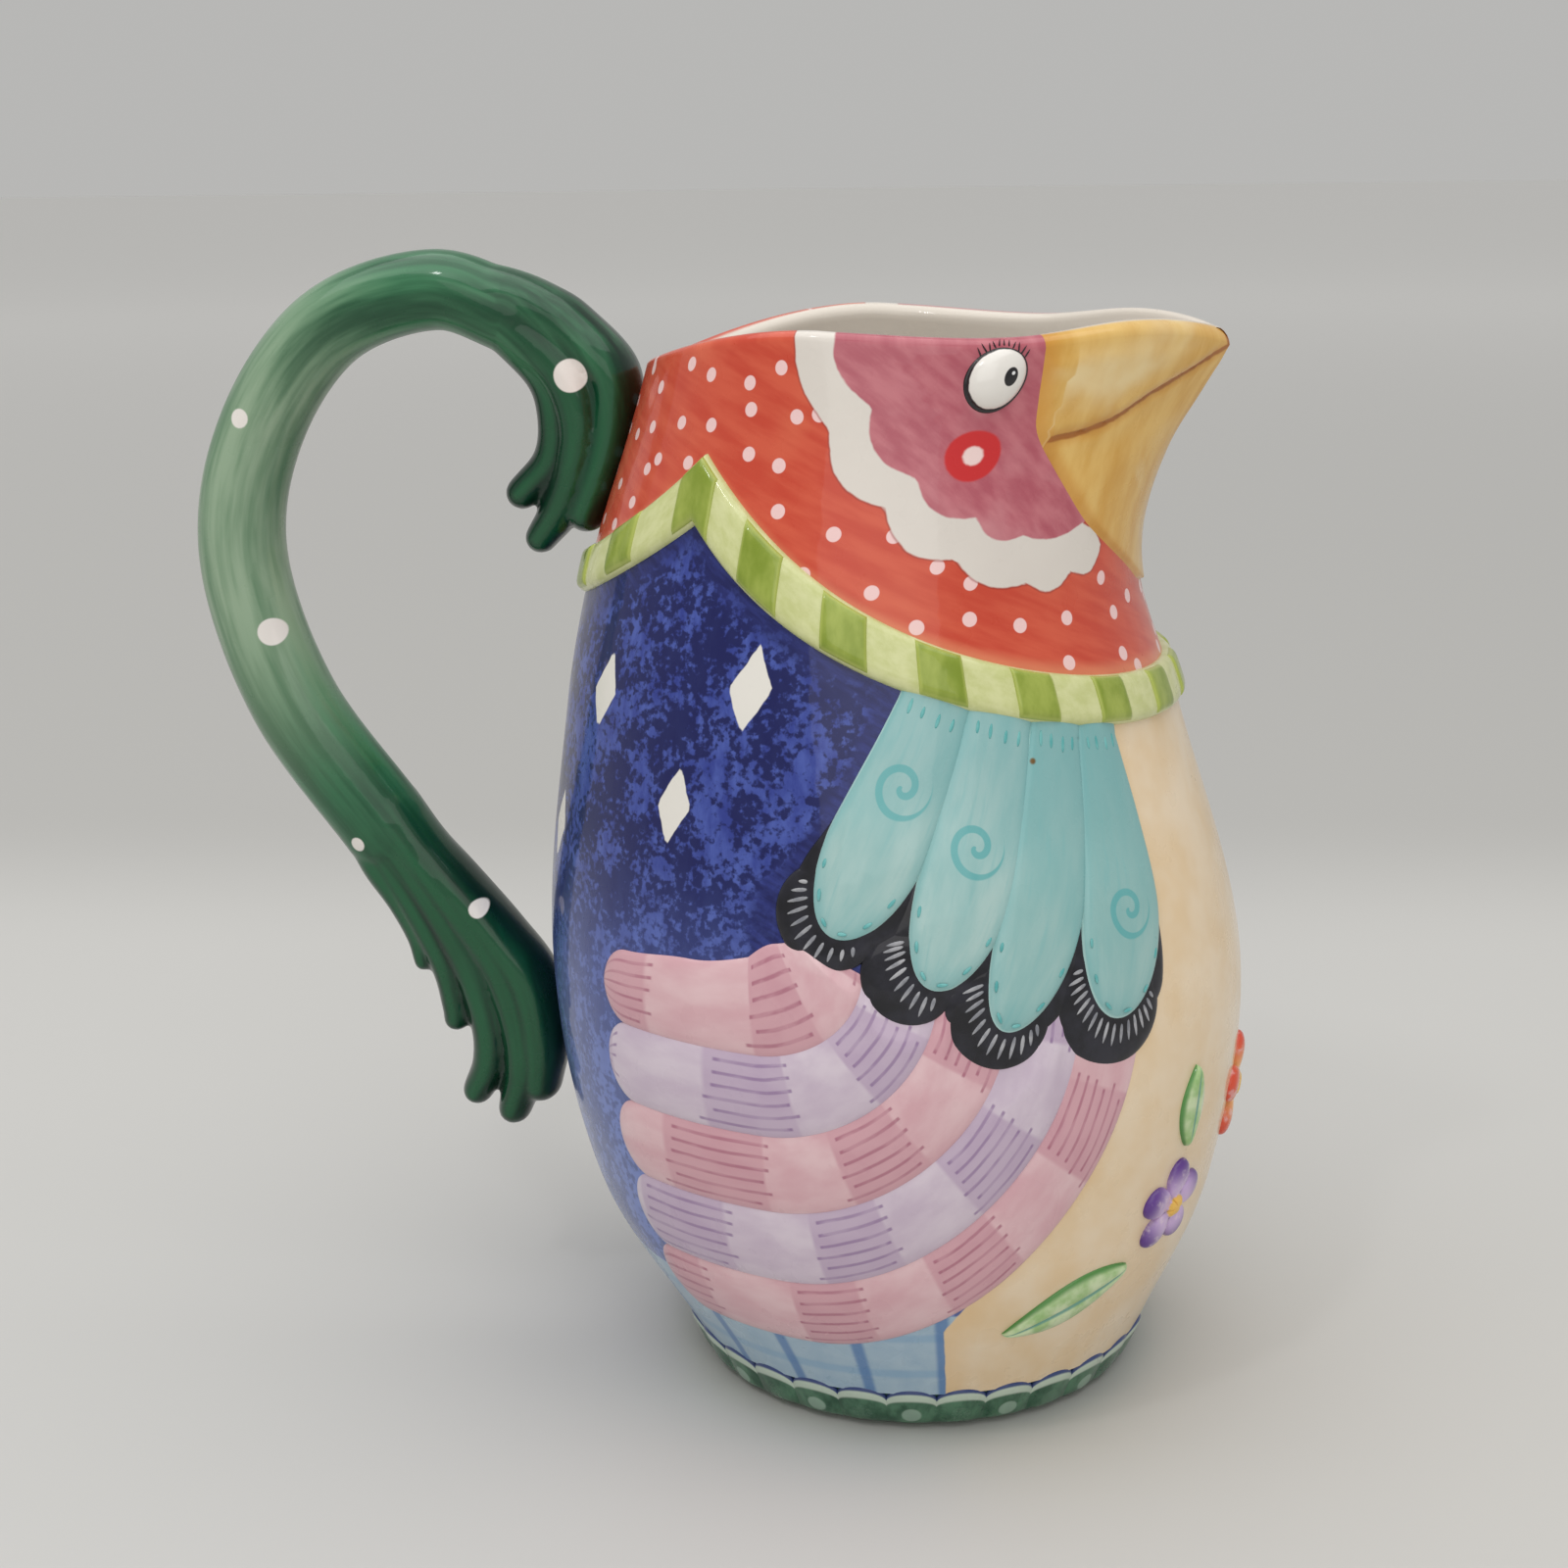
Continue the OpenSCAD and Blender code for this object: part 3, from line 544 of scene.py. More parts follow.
def collarZ(a):
    c, b = collarShape, fromBeak(a)
    front = mix(c["frontZ"], c["peakZ"], (np.minimum(b, c["peak"]) / c["peak"])**c["frontRise"])
    back = mix(c["backZ"], c["peakZ"], ((180 - np.maximum(b, c["peak"])) / (180 - c["peak"]))**2)
    return np.where(b < c["peak"], front, back)


def collarH(a):
    c, b = collarShape, fromBeak(a)
    t = np.where(b < c["peak"], b / c["peak"], (180 - b) / (180 - c["peak"]))
    return mix(c["height"], c["peakHeight"], t * t)


def bodyFields(a, z, inner):
    b = fromBeak(a)
    h, f = headPaint, flankPaint
    breast = np.interp(z, *np.array(f["breastEdge"], float).T)
    wing = np.interp(z, *np.array(f["wingEdge"], float).T)
    diamond = np.full(b.shape, farOff)
    for da, dz, wide, high in f["diamonds"]:
        across = (b - da) * perDegree(da, dz) + f["lean"] * (z - dz)
        gap = np.abs(across) / wide + np.abs(z - dz) / high - 1
        diamond = np.minimum(diamond, gap * wide * high / math.hypot(wide, high))
    return {
        "inner": inner,
        "cape": collarZ(a) - z,
        "face": scallopGap(h["face"], h["faceClosing"], b, z),
        "ruff": scallopGap(h["ruff"], h["ruffClosing"], b, z),
        "cheek": np.hypot((b - h["cheek"][0]) * paintScale, z - h["cheek"][1]),
        "breast": (b - breast) * f["scale"],
        "wing": np.where(z > f["wingEdge"][0][0], (b - wing) * f["scale"], f["belowWing"]),
        "plaid": np.maximum(z - f["plaidTop"], (b - f["plaidEnd"]) * f["scale"]),
        "diamond": diamond,
        "fade": z,
    }


def buildBody():
    s = bodyShape
    low, least = beakShape["lowZ"], beakShape["lowColumns"]
    cols = least + s["columns"] + 1
    heights, offsets, rises = wallPath(low)
    outerZ = np.linspace(s["baseZ"], low, s["lowRows"])[:-1]
    innerZ = np.linspace(low, s["floorZ"] + s["floorFillet"], s["innerRows"])[1:]
    fillet = np.linspace(0, math.pi / 2, s["filletRows"])[1:]
    bendZ = s["floorZ"] + s["floorFillet"] * (1 - np.sin(fillet))
    bendIn = -s["wall"] - s["floorFillet"] * (1 - np.cos(fillet))
    allZ = np.concatenate([outerZ, heights, innerZ, bendZ])
    allIn = np.concatenate([0 * outerZ, offsets, np.full(len(innerZ), -s["wall"]), bendIn])
    allUp = np.concatenate([0 * outerZ, rises, 0 * innerZ, 0 * bendZ])
    half = beakHalf(allZ)[:, None]
    c = np.arange(cols)[None, :]
    beakPart = mix(-half, half, c / least)
    a = np.where(c <= least, beakPart, mix(half, 360 - half, (c - least) / s["columns"]))
    z = spread(allZ, cols)
    points = lifted(a, z, spread(allIn, cols))
    points[..., 2] += allUp[:, None]
    inside = inward(len(allZ), len(outerZ) + s["highRows"] + (s["lipRows"] - 2) / 2)
    # flat discs close the base and the floor
    discs = np.array([1, 0.75, 0.5, 0.25, 0])
    extra = len(discs) - 1
    base = np.stack([points[0] * (k, k, 1) for k in discs[:0:-1]])
    floorRim = points[-1] * (1, 1, 0) + (0, 0, s["floorZ"])
    points[-1] = floorRim
    ground = np.stack([floorRim * (k, k, 1) for k in discs[1:]])
    points = np.concatenate([base, points, ground])
    a = np.concatenate([np.repeat(a[:1], extra, 0), a, np.repeat(a[-1:], extra, 0)])
    z = np.concatenate([np.repeat(z[:1], extra, 0), z, np.repeat(z[-1:], extra, 0)])
    inside = np.pad(inside, extra, constant_values=s["inwardMost"])
    rows = len(points)
    first = extra + len(outerZ)  # the notch runs over these rows
    last = first + len(heights) - 1
    index = np.arange(rows * cols).reshape(rows, cols)
    faces = gridFaces(rows, cols)
    i, j = np.divmod(np.arange(len(faces)), cols - 1)
    faces = faces[~((i >= first) & (i < last) & (j < least))]
    walls = [strip(index[first, :least + 1], index[last, :least + 1])]
    walls += [wallEnd(index[first:last + 1, edge]) for edge in (0, least)]
    unrolled = np.where(a > 180, a - 360, a)
    uv = np.stack([unrolled * paintScale, z], -1) / mapUnit
    fields = bodyFields(a, z, spread(inside, cols))
    return makePiece("pitcherBody", points, np.concatenate([faces] + walls), uv, fields)


def paintBody(b):
    place = b.place()
    skinMap = b.paintMap()
    # the same strokes on both sides
    sideMap = b.add("ShaderNodeVectorMath", {0: skinMap}, operation="ABSOLUTE").outputs[0]
    wobble = b.jitter(b.noise(place, 210, 2), 0.9)

    def zone(name, edge=0.0, soft=0.22):  # 1 inside an outline
        gap = b.math("ADD", b.field(name), wobble)
        return b.ramp(gap, edge + soft, edge - soft)

    # saddle: cobalt sponged with navy, brushed smooth along its edges and paler low on the back
    grain = b.noise(place, 640, 3, 0.55)
    clumps = b.noise(place, 85, 3, 0.6)
    sponge = b.math("MULTIPLY_ADD", clumps, 0.5, b.times(grain, 0.5))
    wash = b.noise(b.stretch(skinMap, (2.2, 0.8, 1)), 1.5, 4, 0.6)
    cobalt = b.over((44, 58, 140), (74, 92, 172), wash, 0.3, 0.7)
    cobalt = b.over(cobalt, (124, 144, 208), b.field("fade"), 140, 56, 0.0, 0.8)
    dabs = b.times(b.ramp(sponge, 0.56, 0.475, 0.0, 0.92), b.ramp(b.field("fade"), 96, 132, 0.5, 1.0))
    saddle = b.blend(dabs, cobalt, (8, 14, 78))
    brushed = b.noise(b.stretch(sideMap, (0.7, 3.4, 1), -34), 1.8, 4, 0.6)
    navy = b.over((20, 26, 88), (44, 54, 128), brushed, 0.35, 0.7)
    saddle = b.over(saddle, navy, b.field("cape"), 15, 6.5, 0.0, 0.85)
    saddle = b.over(saddle, navy, b.field("wing"), 5.5, 2.5, 0.0, 0.85)
    saddle = b.blend(zone("diamond", 0, 0.14), saddle, (232, 228, 220))

    # breast: cream with peach washes
    wash = b.noise(b.stretch(skinMap, (0.9, 0.6, 1)), 0.9, 3)
    cream = b.over((238, 218, 189), (231, 203, 162), wash, 0.3, 0.72)
    cream = b.over(cream, (230, 192, 136), b.field("breast"), -9, -1, 0.0, 0.45)

    # plaid patch low on the flank
    line = b.split(skinMap)
    upright, level = b.stripe(b.times(line[0], 0.62)), b.stripe(b.times(line[1], 0.9))
    plaid = b.blend(b.noise(skinMap, 2.2, 3), (146, 176, 200), (184, 204, 216))
    plaid = b.over(plaid, (126, 168, 202), level, 0.16, 0.05, 0.0, 0.5)
    plaid = b.over(plaid, (76, 122, 178), upright, 0.11, 0.04, 0.0, 0.8)

    # cape: brushed coral with pale dots, and a painted highlight along the collar
    stroke = b.noise(b.stretch(sideMap, (0.4, 2.2, 1), -24), 1.5, 4, 0.5)
    cape = b.over((203, 72, 50), (215, 92, 66), stroke, 0.34, 0.68)
    cape = b.over(cape, (232, 128, 92), b.noise(place, 42, 2), 0.5, 0.75, 0.0, 0.35)
    # painted highlight: pale salmon on the cape just above the raised collar
    cape = b.over(cape, (236, 160, 118), b.field("cape"), -8.2, -5.2, 0.0, 0.5)
    dot = b.spots(skinMap, 1.0, 0.75)["Distance"]
    cape = b.over(cape, (244, 206, 204), dot, 0.153, 0.131)

    # face: brushed mauve
    stroke = b.noise(b.stretch(sideMap, (0.8, 2.6, 1), -42), 1.5, 4, 0.5)
    cloud = b.noise(place, 60, 3)
    face = b.over((178, 88, 102), (198, 117, 126), stroke, 0.3, 0.72)
    face = b.over(face, (212, 150, 154), cloud, 0.5, 0.75, 0.0, 0.55)
    cheek = b.math("MULTIPLY_ADD", wobble, 0.4, b.field("cheek"))
    edge = headPaint["cheekR"]
    face = b.over(face, (206, 46, 48), cheek, edge + 0.3, edge - 0.3)
    face = b.over(face, (244, 216, 212), cheek, 2.2, 1.6)

    ruff = b.blend(b.noise(place, 60, 2), (228, 221, 212), (218, 210, 202))

    colour = b.blend(zone("plaid"), saddle, plaid)
    colour = b.blend(zone("breast"), colour, cream)
    colour = b.blend(zone("cape"), colour, cape)
    colour = b.blend(b.times(zone("ruff", 0.35, 0.2), 0.6), colour, (150, 48, 36))
    colour = b.blend(zone("ruff"), colour, ruff)
    colour = b.blend(zone("face"), colour, face)
    return lined(b, colour, place)


body = dress(buildBody(), glaze("bodyGlaze", paintBody), "body_glaze", "body")
body.data.set_sharp_from_angle(angle=math.radians(bodyShape["crease"]))
print("body:", len(body.data.polygons), "faces")


# Beak: the pouring lip, with the line of the mouth pressed into it

def buildBeak():
    s = beakShape
    heights, offsets, rises = wallPath(s["lowZ"])
    rows, cols = len(heights), s["columns"] + 1
    half = beakHalf(heights)[:, None]
    a = half * np.linspace(-1, 1, cols)[None, :]
    z = spread(heights, cols)
    edge = (half - np.abs(a)) * perDegree(a, z)
    gap = z - through(s["mouth"], np.abs(a))[..., 0]
    line = ease((s["mouthEnd"] - np.abs(a)) / s["mouthFade"])
    groove = s["grooveDepth"] * np.exp(-(gap / s["grooveWidth"])**2) * line
    jaw = s["jawStep"] * ease(-gap / s["jawIn"]) * line * ease((gap + s["jawReach"]) / s["jawFade"])
    fall = ease((bodyShape["rimZ"] - bodyShape["lipRise"] - z) / s["rimFade"])
    swell = (s["raise"] * ease(edge / s["edgeRound"]) - groove - jaw) * fall
    outer = ((offsets == 0) & (rises == 0))[:, None]
    points = lifted(a, z, offsets[:, None] + np.where(outer, swell, 0))
    points[..., 2] += rises[:, None]
    index = np.arange(rows * cols).reshape(rows, cols)
    faces = [gridFaces(rows, cols), strip(index[0], index[-1]), wallEnd(index[:, 0]), wallEnd(index[:, -1])]
    lip = bodyShape["highRows"] + (bodyShape["lipRows"] - 3) / 2
    fields = {
        "inner": spread(inward(rows, lip), cols),
        "mouth": np.where(np.abs(a) < s["mouthEnd"], gap, s["noMouth"]),
        "edge": edge,
    }
    uv = np.stack([a * paintScale, z], -1) / mapUnit
    return makePiece("beak", points, np.concatenate(faces), uv, fields)


def paintBeak(b):
    place, skinMap = b.place(), b.paintMap()
    stroke = b.noise(b.stretch(skinMap, (1.3, 0.45, 1)), 1.2, 4, 0.55)
    amber = b.over((212, 162, 76), (228, 188, 110), stroke, 0.3, 0.7)
    cloud = b.noise(place, 55, 3, 0.5, 0.3)
    amber = b.over(amber, (236, 212, 158), cloud, 0.54, 0.74, 0.0, 0.7)
    high = b.times(b.ramp(b.field("mouth"), 2, 9), b.ramp(b.field("mouth"), 20, 12))
    amber = b.blend(b.times(high, b.ramp(cloud, 0.36, 0.62, 0.1, 0.8)), amber, (238, 216, 166))
    amber = b.over(amber, (204, 138, 48), b.field("edge"), 5, 0.6, 0.0, 0.55)
    gap = b.math("ADD", b.field("mouth"), b.jitter(b.noise(place, 300, 2), 0.8))
    gap = b.math("ABSOLUTE", gap)
    amber = b.over(amber, (202, 134, 48), gap, 2.8, 0.6, 0.0, 0.4)
    amber = b.over(amber, (166, 98, 38), gap, 0.95, 0.4, 0.0, 0.9)
    return lined(b, amber, place)


beak = dress(buildBeak(), glaze("beakGlaze", paintBeak), "beak_glaze", "beak_spout")
beak.data.set_sharp_from_angle(angle=math.radians(bodyShape["crease"]))
print("beak:", len(beak.data.polygons), "faces")


# Collar: a rounded band round the neck with raised checks

def buildCollar():
    turns = np.linspace(-180, 180, collarShape["columns"] + 1)
    p, a = np.meshgrid(crowded(13) / 2, turns, indexing="ij")
    up = p * collarH(a)
    rise = collarShape["thickness"] * rounded(2 * p, collarShape["roundness"])
    uv = a * paintScale / mapUnit, up / mapUnit
    return makePiece("collar", *raised(a, collarZ(a) + up, rise, uv, "ring"))


def buildChecks():
    c = collarShape
    front = [i * c["peak"] / c["checksFront"] for i in range(c["checksFront"] + 1)]
    back = [mix(c["peak"], 180, (i + 1) / c["checksBack"]) for i in range(c["checksBack"])]

    def rise(u, v):
        band = c["thickness"] * rounded(2 * v * c["checkReach"], c["roundness"])
        tile = rounded(u, c["checkRoundness"]) * rounded(v, c["checkRoundness"])
        return band + c["checkRise"] * tile - c["checkSeat"]
    tiles = []
    for angle in front + back:
        k = perDegree(angle, collarZ(angle))

        def place(u, v):
            b = angle + u * c["checkWidth"] / 2 / k
            return b, collarZ(b) + v * c["checkReach"] * collarH(b)
        for side in (-1, 1):
            if side > 0 or 0 < angle < 180:  # only one in front and one behind
                tiles.append(relief(place, rise, crowded(15), crowded(13), side))
    return makePiece("collarChecks", *joined(tiles))


def paintCollar(b):
    place = b.place()
    wash = b.noise(b.stretch(b.paintMap(), (2.4, 2.4, 1)), 1.3, 4, 0.6)
    colour = b.over((200, 205, 140), (216, 219, 163), wash, 0.3, 0.7)
    return b.over(colour, (176, 188, 92), b.noise(place, 240, 3), 0.58, 0.75, 0.0, 0.2)


def paintChecks(b):
    place = b.place()
    uv = b.split(b.paintMap())
    wash = b.noise(b.stretch(place, (150, 150, 60)), 1.0, 4, 0.6)
    colour = b.over((128, 148, 46), (166, 180, 84), wash, 0.3, 0.7)
    edge = b.math("MAXIMUM", b.math("ABSOLUTE", uv[0]), b.math("ABSOLUTE", uv[1]))
    return b.over(colour, (190, 200, 104), edge, 0.82, 0.96, 0.0, 0.55)


dress(buildCollar(), glaze("collarGlaze", paintCollar), "collar_glaze", "collar_band")
dress(buildChecks(), glaze("checkGlaze", paintChecks), "check_glaze", "collar_checks")
print("collar and checks laid")


# Wing: four domed feathers a side over a dark scalloped edging

wingShape = {
    # angle of root and tip, drop from root to tip, half width at root and tip, bow to the back
    "feathers": [
        (70.7, 91.2, 42.4, 6.4, 9.4, -0.3), (59.4, 77.1, 48.4, 6.4, 9.3, -0.9),
        (48.6, 66.8, 54.6, 5.4, 8.9, -2.1), (39.2, 48, 53.8, 4.9, 11.5, -2),
    ],
    # rounds of the edging: angle behind and height below the middle of each tip, and radius
    "rounds": [(2.7, 1.8, 10.4), (5.4, 4.2, 9.2), (3.4, 4.3, 10.7), (1.9, 4.1, 12.8)],
    "belly": 0.9,
    "press": 0.4,  # how far the feathers press against each other
    "rootGap": 2,
    "tuck": 3.5,  # how far the roots run up under the collar
    "tipFrom": 0.56,
    "edgeRise": (0.5, 1.35),  # height of a feather's edge at its root and past its middle
    "domeRise": (0.7, 0.85),  # and of the dome above it
    "tones": (0.25, 0.1, 0.8, 1.0),  # how deep the turquoise of each feather is
    "tipMiddle": 0.86,
    "edgingFrom": 0.5,  # where the black starts beside a feather
    "edgingTipFrom": 0.82,
    "edgingRise": 1.0,
    "edgingStep": 0.1,  # each round lies this much lower than the one behind it
    "wedge": 1.3,  # how far the black fills the gap beside a tip
    "spirals": {1: (0.4, 22), 3: (-0.4, 33), 0: (0.2, 14)},  # feather: across, along (mm)
    "noSpiral": (0, -60),  # off the feather
    "coil": 0.4,
    "spiralR": 0.56,
}


def rootZ(f):
    return float(collarZ(f[0]) - collarH(f[0]) / 2 - wingShape["rootGap"])


def featherMid(f, v):
    return mix(f[0], f[1], v) + f[5] * np.sin(np.pi * np.clip(v, 0, 1)), rootZ(f) - f[2] * v


def featherPlace(f, across, v):  # across in mm from the middle line
    a, z = featherMid(f, v)
    a2, z2 = featherMid(f, v + 0.01)
    k = perDegree(a, z)
    da, dz = (a2 - a) * k, z2 - z
    length = np.hypot(da, dz)
    return a - across * dz / length / k, z + across * da / length


def tipTurn(v, start):  # 0 on the straight of a feather, 1 at the end of its tip
    return np.clip((v - start) / (1 - start), 0, 1)


def tipRows(first, start, straight, turned):  # rows along a feather, closer together round its tip
    return np.concatenate([np.linspace(first, start, straight)[:-1], mix(start, 1, crowdedEnd(turned))])


def reachOf(u, v, start=wingShape["tipFrom"]):
    t = tipTurn(v, start)
    return np.sqrt(u * u * (1 - t * t) + t * t)


def featherHalf(f, v):
    v = np.clip(v, 0, 1)
    return mix(f[3], f[4], v) + wingShape["belly"] * np.sin(np.pi * v) + wingShape["press"]


def featherRise(u, v):
    reach = reachOf(u, v)
    edge = mix(*wingShape["edgeRise"], ease((v - 0.3) / 0.3))
    dome = mix(*wingShape["domeRise"], ease(v / 0.5))
    return (edge + dome * np.clip(1 - reach**2, 0, 1)**0.7) * rounded(reach)


def buildFeather(i, side, name):
    f, start = wingShape["feathers"][i], wingShape["tipFrom"]
    across, along = crowded(25), tipRows(-wingShape["tuck"] / f[2], start, 60, 24)
    coilAcross, coilAlong = wingShape["spirals"].get(i, wingShape["noSpiral"])

    def place(u, v):
        return featherPlace(f, u * featherHalf(f, v) * np.sqrt(1 - tipTurn(v, start)**2), v)

    def uv(u, v):
        return (u * featherHalf(f, v) - coilAcross) / mapUnit, (v * f[2] - coilAlong) / mapUnit
    u, v = np.meshgrid(across, along)
    reach = reachOf(u, v)
    fields = {
        "reach": np.stack([reach, reach]),
        "along": np.stack([v, v]),
        "tone": np.full(2 * v.size, wingShape["tones"][i]),
    }
    return makePiece(name, *relief(place, featherRise, across, along, side, uv), fields)


def roundMid(i):
    a, z = featherMid(wingShape["feathers"][i], wingShape["tipMiddle"])
    return a + wingShape["rounds"][i][0], z - wingShape["rounds"][i][1]


def roundGap(i, a, z):  # distance outside a round of the edging
    ca, cz = roundMid(i)
    return np.hypot((a - ca) * perDegree(ca, cz), z - cz) - wingShape["rounds"][i][2]


def edgingTop(i):
    return wingShape["edgingRise"] - wingShape["edgingStep"] * i


def buildEdging(side, name):
    sheets = []
    first, turns = wingShape["edgingFrom"], wingShape["edgingTipFrom"]
    along = tipRows(first, turns, 30, 30)
    for i, f in enumerate(wingShape["feathers"]):
        top = edgingTop(i)
        ca, cz = roundMid(i)
        radius, k = wingShape["rounds"][i][2], perDegree(ca, cz)

        def beside(u, v):
            half = featherHalf(f, v) + wingShape["wedge"] * ease((v - 0.55) / 0.25)
            return featherPlace(f, u * half * np.sqrt(1 - tipTurn(v, turns)**2), v)

        def low(u, v):
            return mix(0.2, top - 0.15, ease((v - first) / 0.2)) * rounded(reachOf(u, v, turns), 14)

        def behindTip(u, v):
            t = 2 * math.pi * u
            return ca + radius * v * np.cos(t) / k, cz + radius * v * np.sin(t)

        def high(u, v):
            return top * rounded(v, 9)
        sheets.append(relief(beside, low, crowded(25), along, side))
        sheets.append(relief(behindTip, high, np.linspace(0, 1, 73), crowdedEnd(16), side, ring="disc"))
    return makePiece(name, *joined(sheets))


def wingGap(f, a, z):  # distance outside a feather
    start = wingShape["tipFrom"]
    k = perDegree(f[1], rootZ(f) - f[2])
    far, half = (1 - start) * math.hypot(f[2], (f[1] - f[0]) * k), float(featherHalf(f, 0.75))
    out = np.linspace(0, far - half**2 / far, 24)  # middles of the rounds that fill the tip
    v = np.concatenate([np.linspace(0, start, 30), start + (1 - start) * out / far])
    fill = np.concatenate([featherHalf(f, v[:30]), half * np.sqrt(1 - out**2 / (far**2 - half**2))])
    ma, mz = featherMid(f, v)
    a, z = np.asarray(a, float)[..., None], np.asarray(z, float)[..., None]
    return np.min(np.hypot((a - ma) * k, z - mz) - fill, axis=-1)


def paintFeather(b):
    place, uv = b.place(), b.paintMap()
    soft = b.noise(b.stretch(uv, (1.5, 0.5, 1)), 1.0, 4, 0.5)
    colour = b.over((150, 192, 190), (178, 206, 202), soft, 0.32, 0.7)
    tone = b.times(b.field("tone"), b.ramp(b.field("along"), 0.35, 1.0, 0.7, 0.35))
    colour = b.blend(tone, colour, (128, 178, 176))
    colour = b.over(colour, (112, 172, 176), b.field("along"), 0.05, 0.7, 0.4, 0.0)
    streak = b.noise(b.stretch(uv, (4.5, 0.5, 1)), 1.4, 3, 0.5)
    colour = b.over(colour, (116, 180, 181), streak, 0.5, 0.75, 0.0, 0.35)
    reach = b.field("reach")
    colour = b.over(colour, (110, 178, 180), reach, 0.7, 0.94, 0.0, 0.3)
    colour = b.over(colour, (196, 228, 224), reach, 0.955, 0.98, 0.0, 0.6)
    x, y = b.split(uv)[:2]
    r = b.reach(x, y)
    turn = b.math("DIVIDE", b.math("ARCTAN2", y, x), 2 * math.pi)
    coil = b.math("SUBTRACT", b.math("DIVIDE", r, wingShape["coil"]), turn)
    off = b.math("ABSOLUTE", b.math("SUBTRACT", coil, b.math("ROUND", coil)))
    end = wingShape["spiralR"]
    line = b.times(b.ramp(off, 0.2, 0.14), b.ramp(r, end + 0.02, end - 0.02))
    colour = b.blend(b.times(line, 0.75), colour, (84, 170, 172))
    return specks(b, colour, place, 95.0, 0.06)


def paintEdging(b):
    wash = b.noise(b.stretch(b.place(), (160, 160, 160)), 1.0, 3)
    return b.over((20, 20, 26), (40, 40, 50), wash, 0.35, 0.7)


featherGlaze = glaze("featherGlaze", paintFeather)
edgingGlaze = glaze("edgingGlaze", paintEdging)
for sideName, side in sides.items():
    for i in range(len(wingShape["feathers"])):
        node = f"{sideName}_feather_{i + 1}"
        dress(buildFeather(i, side, f"{sideName}Feather{i + 1}"), featherGlaze, "feather_glaze", node)
    dress(buildEdging(side, f"{sideName}WingEdging"), edgingGlaze, "edging_glaze", f"{sideName}_wing_edging")
print("wings laid")


# Brush strokes of thick colour: a point for each, with the way it runs, the way it faces and its size

def growTree(name, **sizes):  # a tree with inputs for its points or shape, its sizes and its glaze
    tree = bpy.data.node_groups.new(name, "GeometryNodeTree")
    face = tree.interface
    face.new_socket("Geometry", in_out="INPUT", socket_type="NodeSocketGeometry")
    for label, value in sizes.items():
        kind = "NodeSocketInt" if isinstance(value, int) else "NodeSocketFloat"
        face.new_socket(label, in_out="INPUT", socket_type=kind).default_value = value
    face.new_socket("Glaze", in_out="INPUT", socket_type="NodeSocketMaterial")
    face.new_socket("Geometry", in_out="OUTPUT", socket_type="NodeSocketGeometry")
    b = Brush(tree)
    return b, b.add("NodeGroupInput").outputs


def glazeInstances(b, instances, given):  # the end of a tree: real faces with their glaze
    real = b.add("GeometryNodeRealizeInstances", {0: instances}).outputs[0]
    done = b.add("GeometryNodeSetMaterial", {"Geometry": real, "Material": given["Glaze"]}).outputs[0]
    b.add("NodeGroupOutput", {0: done})
    return b.tree


def strokeTree():
    b, given = growTree("brushStrokes", Length=0.004, Width=0.001, Thickness=0.0002, Taper=0.3, Spread=0.15)
    drop = b.add("GeometryNodeMeshUVSphere", {"Segments": 12, "Rings": 6, "Radius": 0.5}).outputs[0]
    # the drop is wider at its far end
    x, y, z = b.split(b.add("GeometryNodeInputPosition").outputs[0])
    widen = b.math("ADD", b.times(x, given["Taper"]), 1.0)
    tapered = b.add("ShaderNodeCombineXYZ", {0: x, 1: b.times(y, widen), 2: z}).outputs[0]
    drop = b.add("GeometryNodeSetPosition", {"Geometry": drop, "Position": tapered}).outputs[0]

    def named(label, kind):
        return b.add("GeometryNodeInputNamedAttribute", {"Name": label}, data_type=kind).outputs[0]
    axes = {0: named("faces", "FLOAT_VECTOR"), 1: named("runs", "FLOAT_VECTOR")}
    turn = b.add("FunctionNodeAxesToRotation", axes, primary_axis="Z", secondary_axis="X").outputs[0]
    limits = {2: b.math("SUBTRACT", 1.0, given["Spread"]), 3: b.math("ADD", 1.0, given["Spread"])}
    chance = b.add("FunctionNodeRandomValue", {**limits, "Seed": 7}, data_type="FLOAT").outputs[1]
    long = b.times(b.times(given["Length"], named("size", "FLOAT")), chance)
    size = b.add("ShaderNodeCombineXYZ", {0: long, 1: given["Width"], 2: given["Thickness"]}).outputs[0]
    laid = {"Points": given["Geometry"], "Instance": drop, "Rotation": turn, "Scale": size}
    return glazeInstances(b, b.add("GeometryNodeInstanceOnPoints", laid).outputs[0], given)


def grown(carrier, tree, name, inputs):  # a plain mesh from a node tree on its carrier
    modifier = carrier.modifiers.new("grow", "NODES")
    modifier.node_group = tree
    for item in tree.interface.items_tree:
        if item.in_out == "INPUT" and item.name in inputs:
            modifier[item.identifier] = inputs[item.name]
    done = carrier.evaluated_get(bpy.context.evaluated_depsgraph_get())
    mesh = bpy.data.meshes.new_from_object(done)
    carrier.modifiers.remove(modifier)
    bpy.data.objects.remove(carrier)
    mesh.name = name
    mesh.shade_smooth()
    return linked(name, mesh)


brushTree = strokeTree()


def strokes(name, spots, material, slotName, **sizes):
    # spots hold place, direction of the stroke, direction it faces and relative length
    places, runs, faces, lengths = (np.array(column) for column in zip(*spots))
    mesh = bpy.data.meshes.new(name + "Points")
    mesh.from_pydata((places * mm).tolist(), [], [])
    addField(mesh, "runs", runs, "FLOAT_VECTOR")
    addField(mesh, "faces", faces, "FLOAT_VECTOR")
    addField(mesh, "size", lengths)
    piece = grown(linked(name + "Points", mesh), brushTree, name, {"Glaze": material, **sizes})
    return dress(piece, material, slotName)


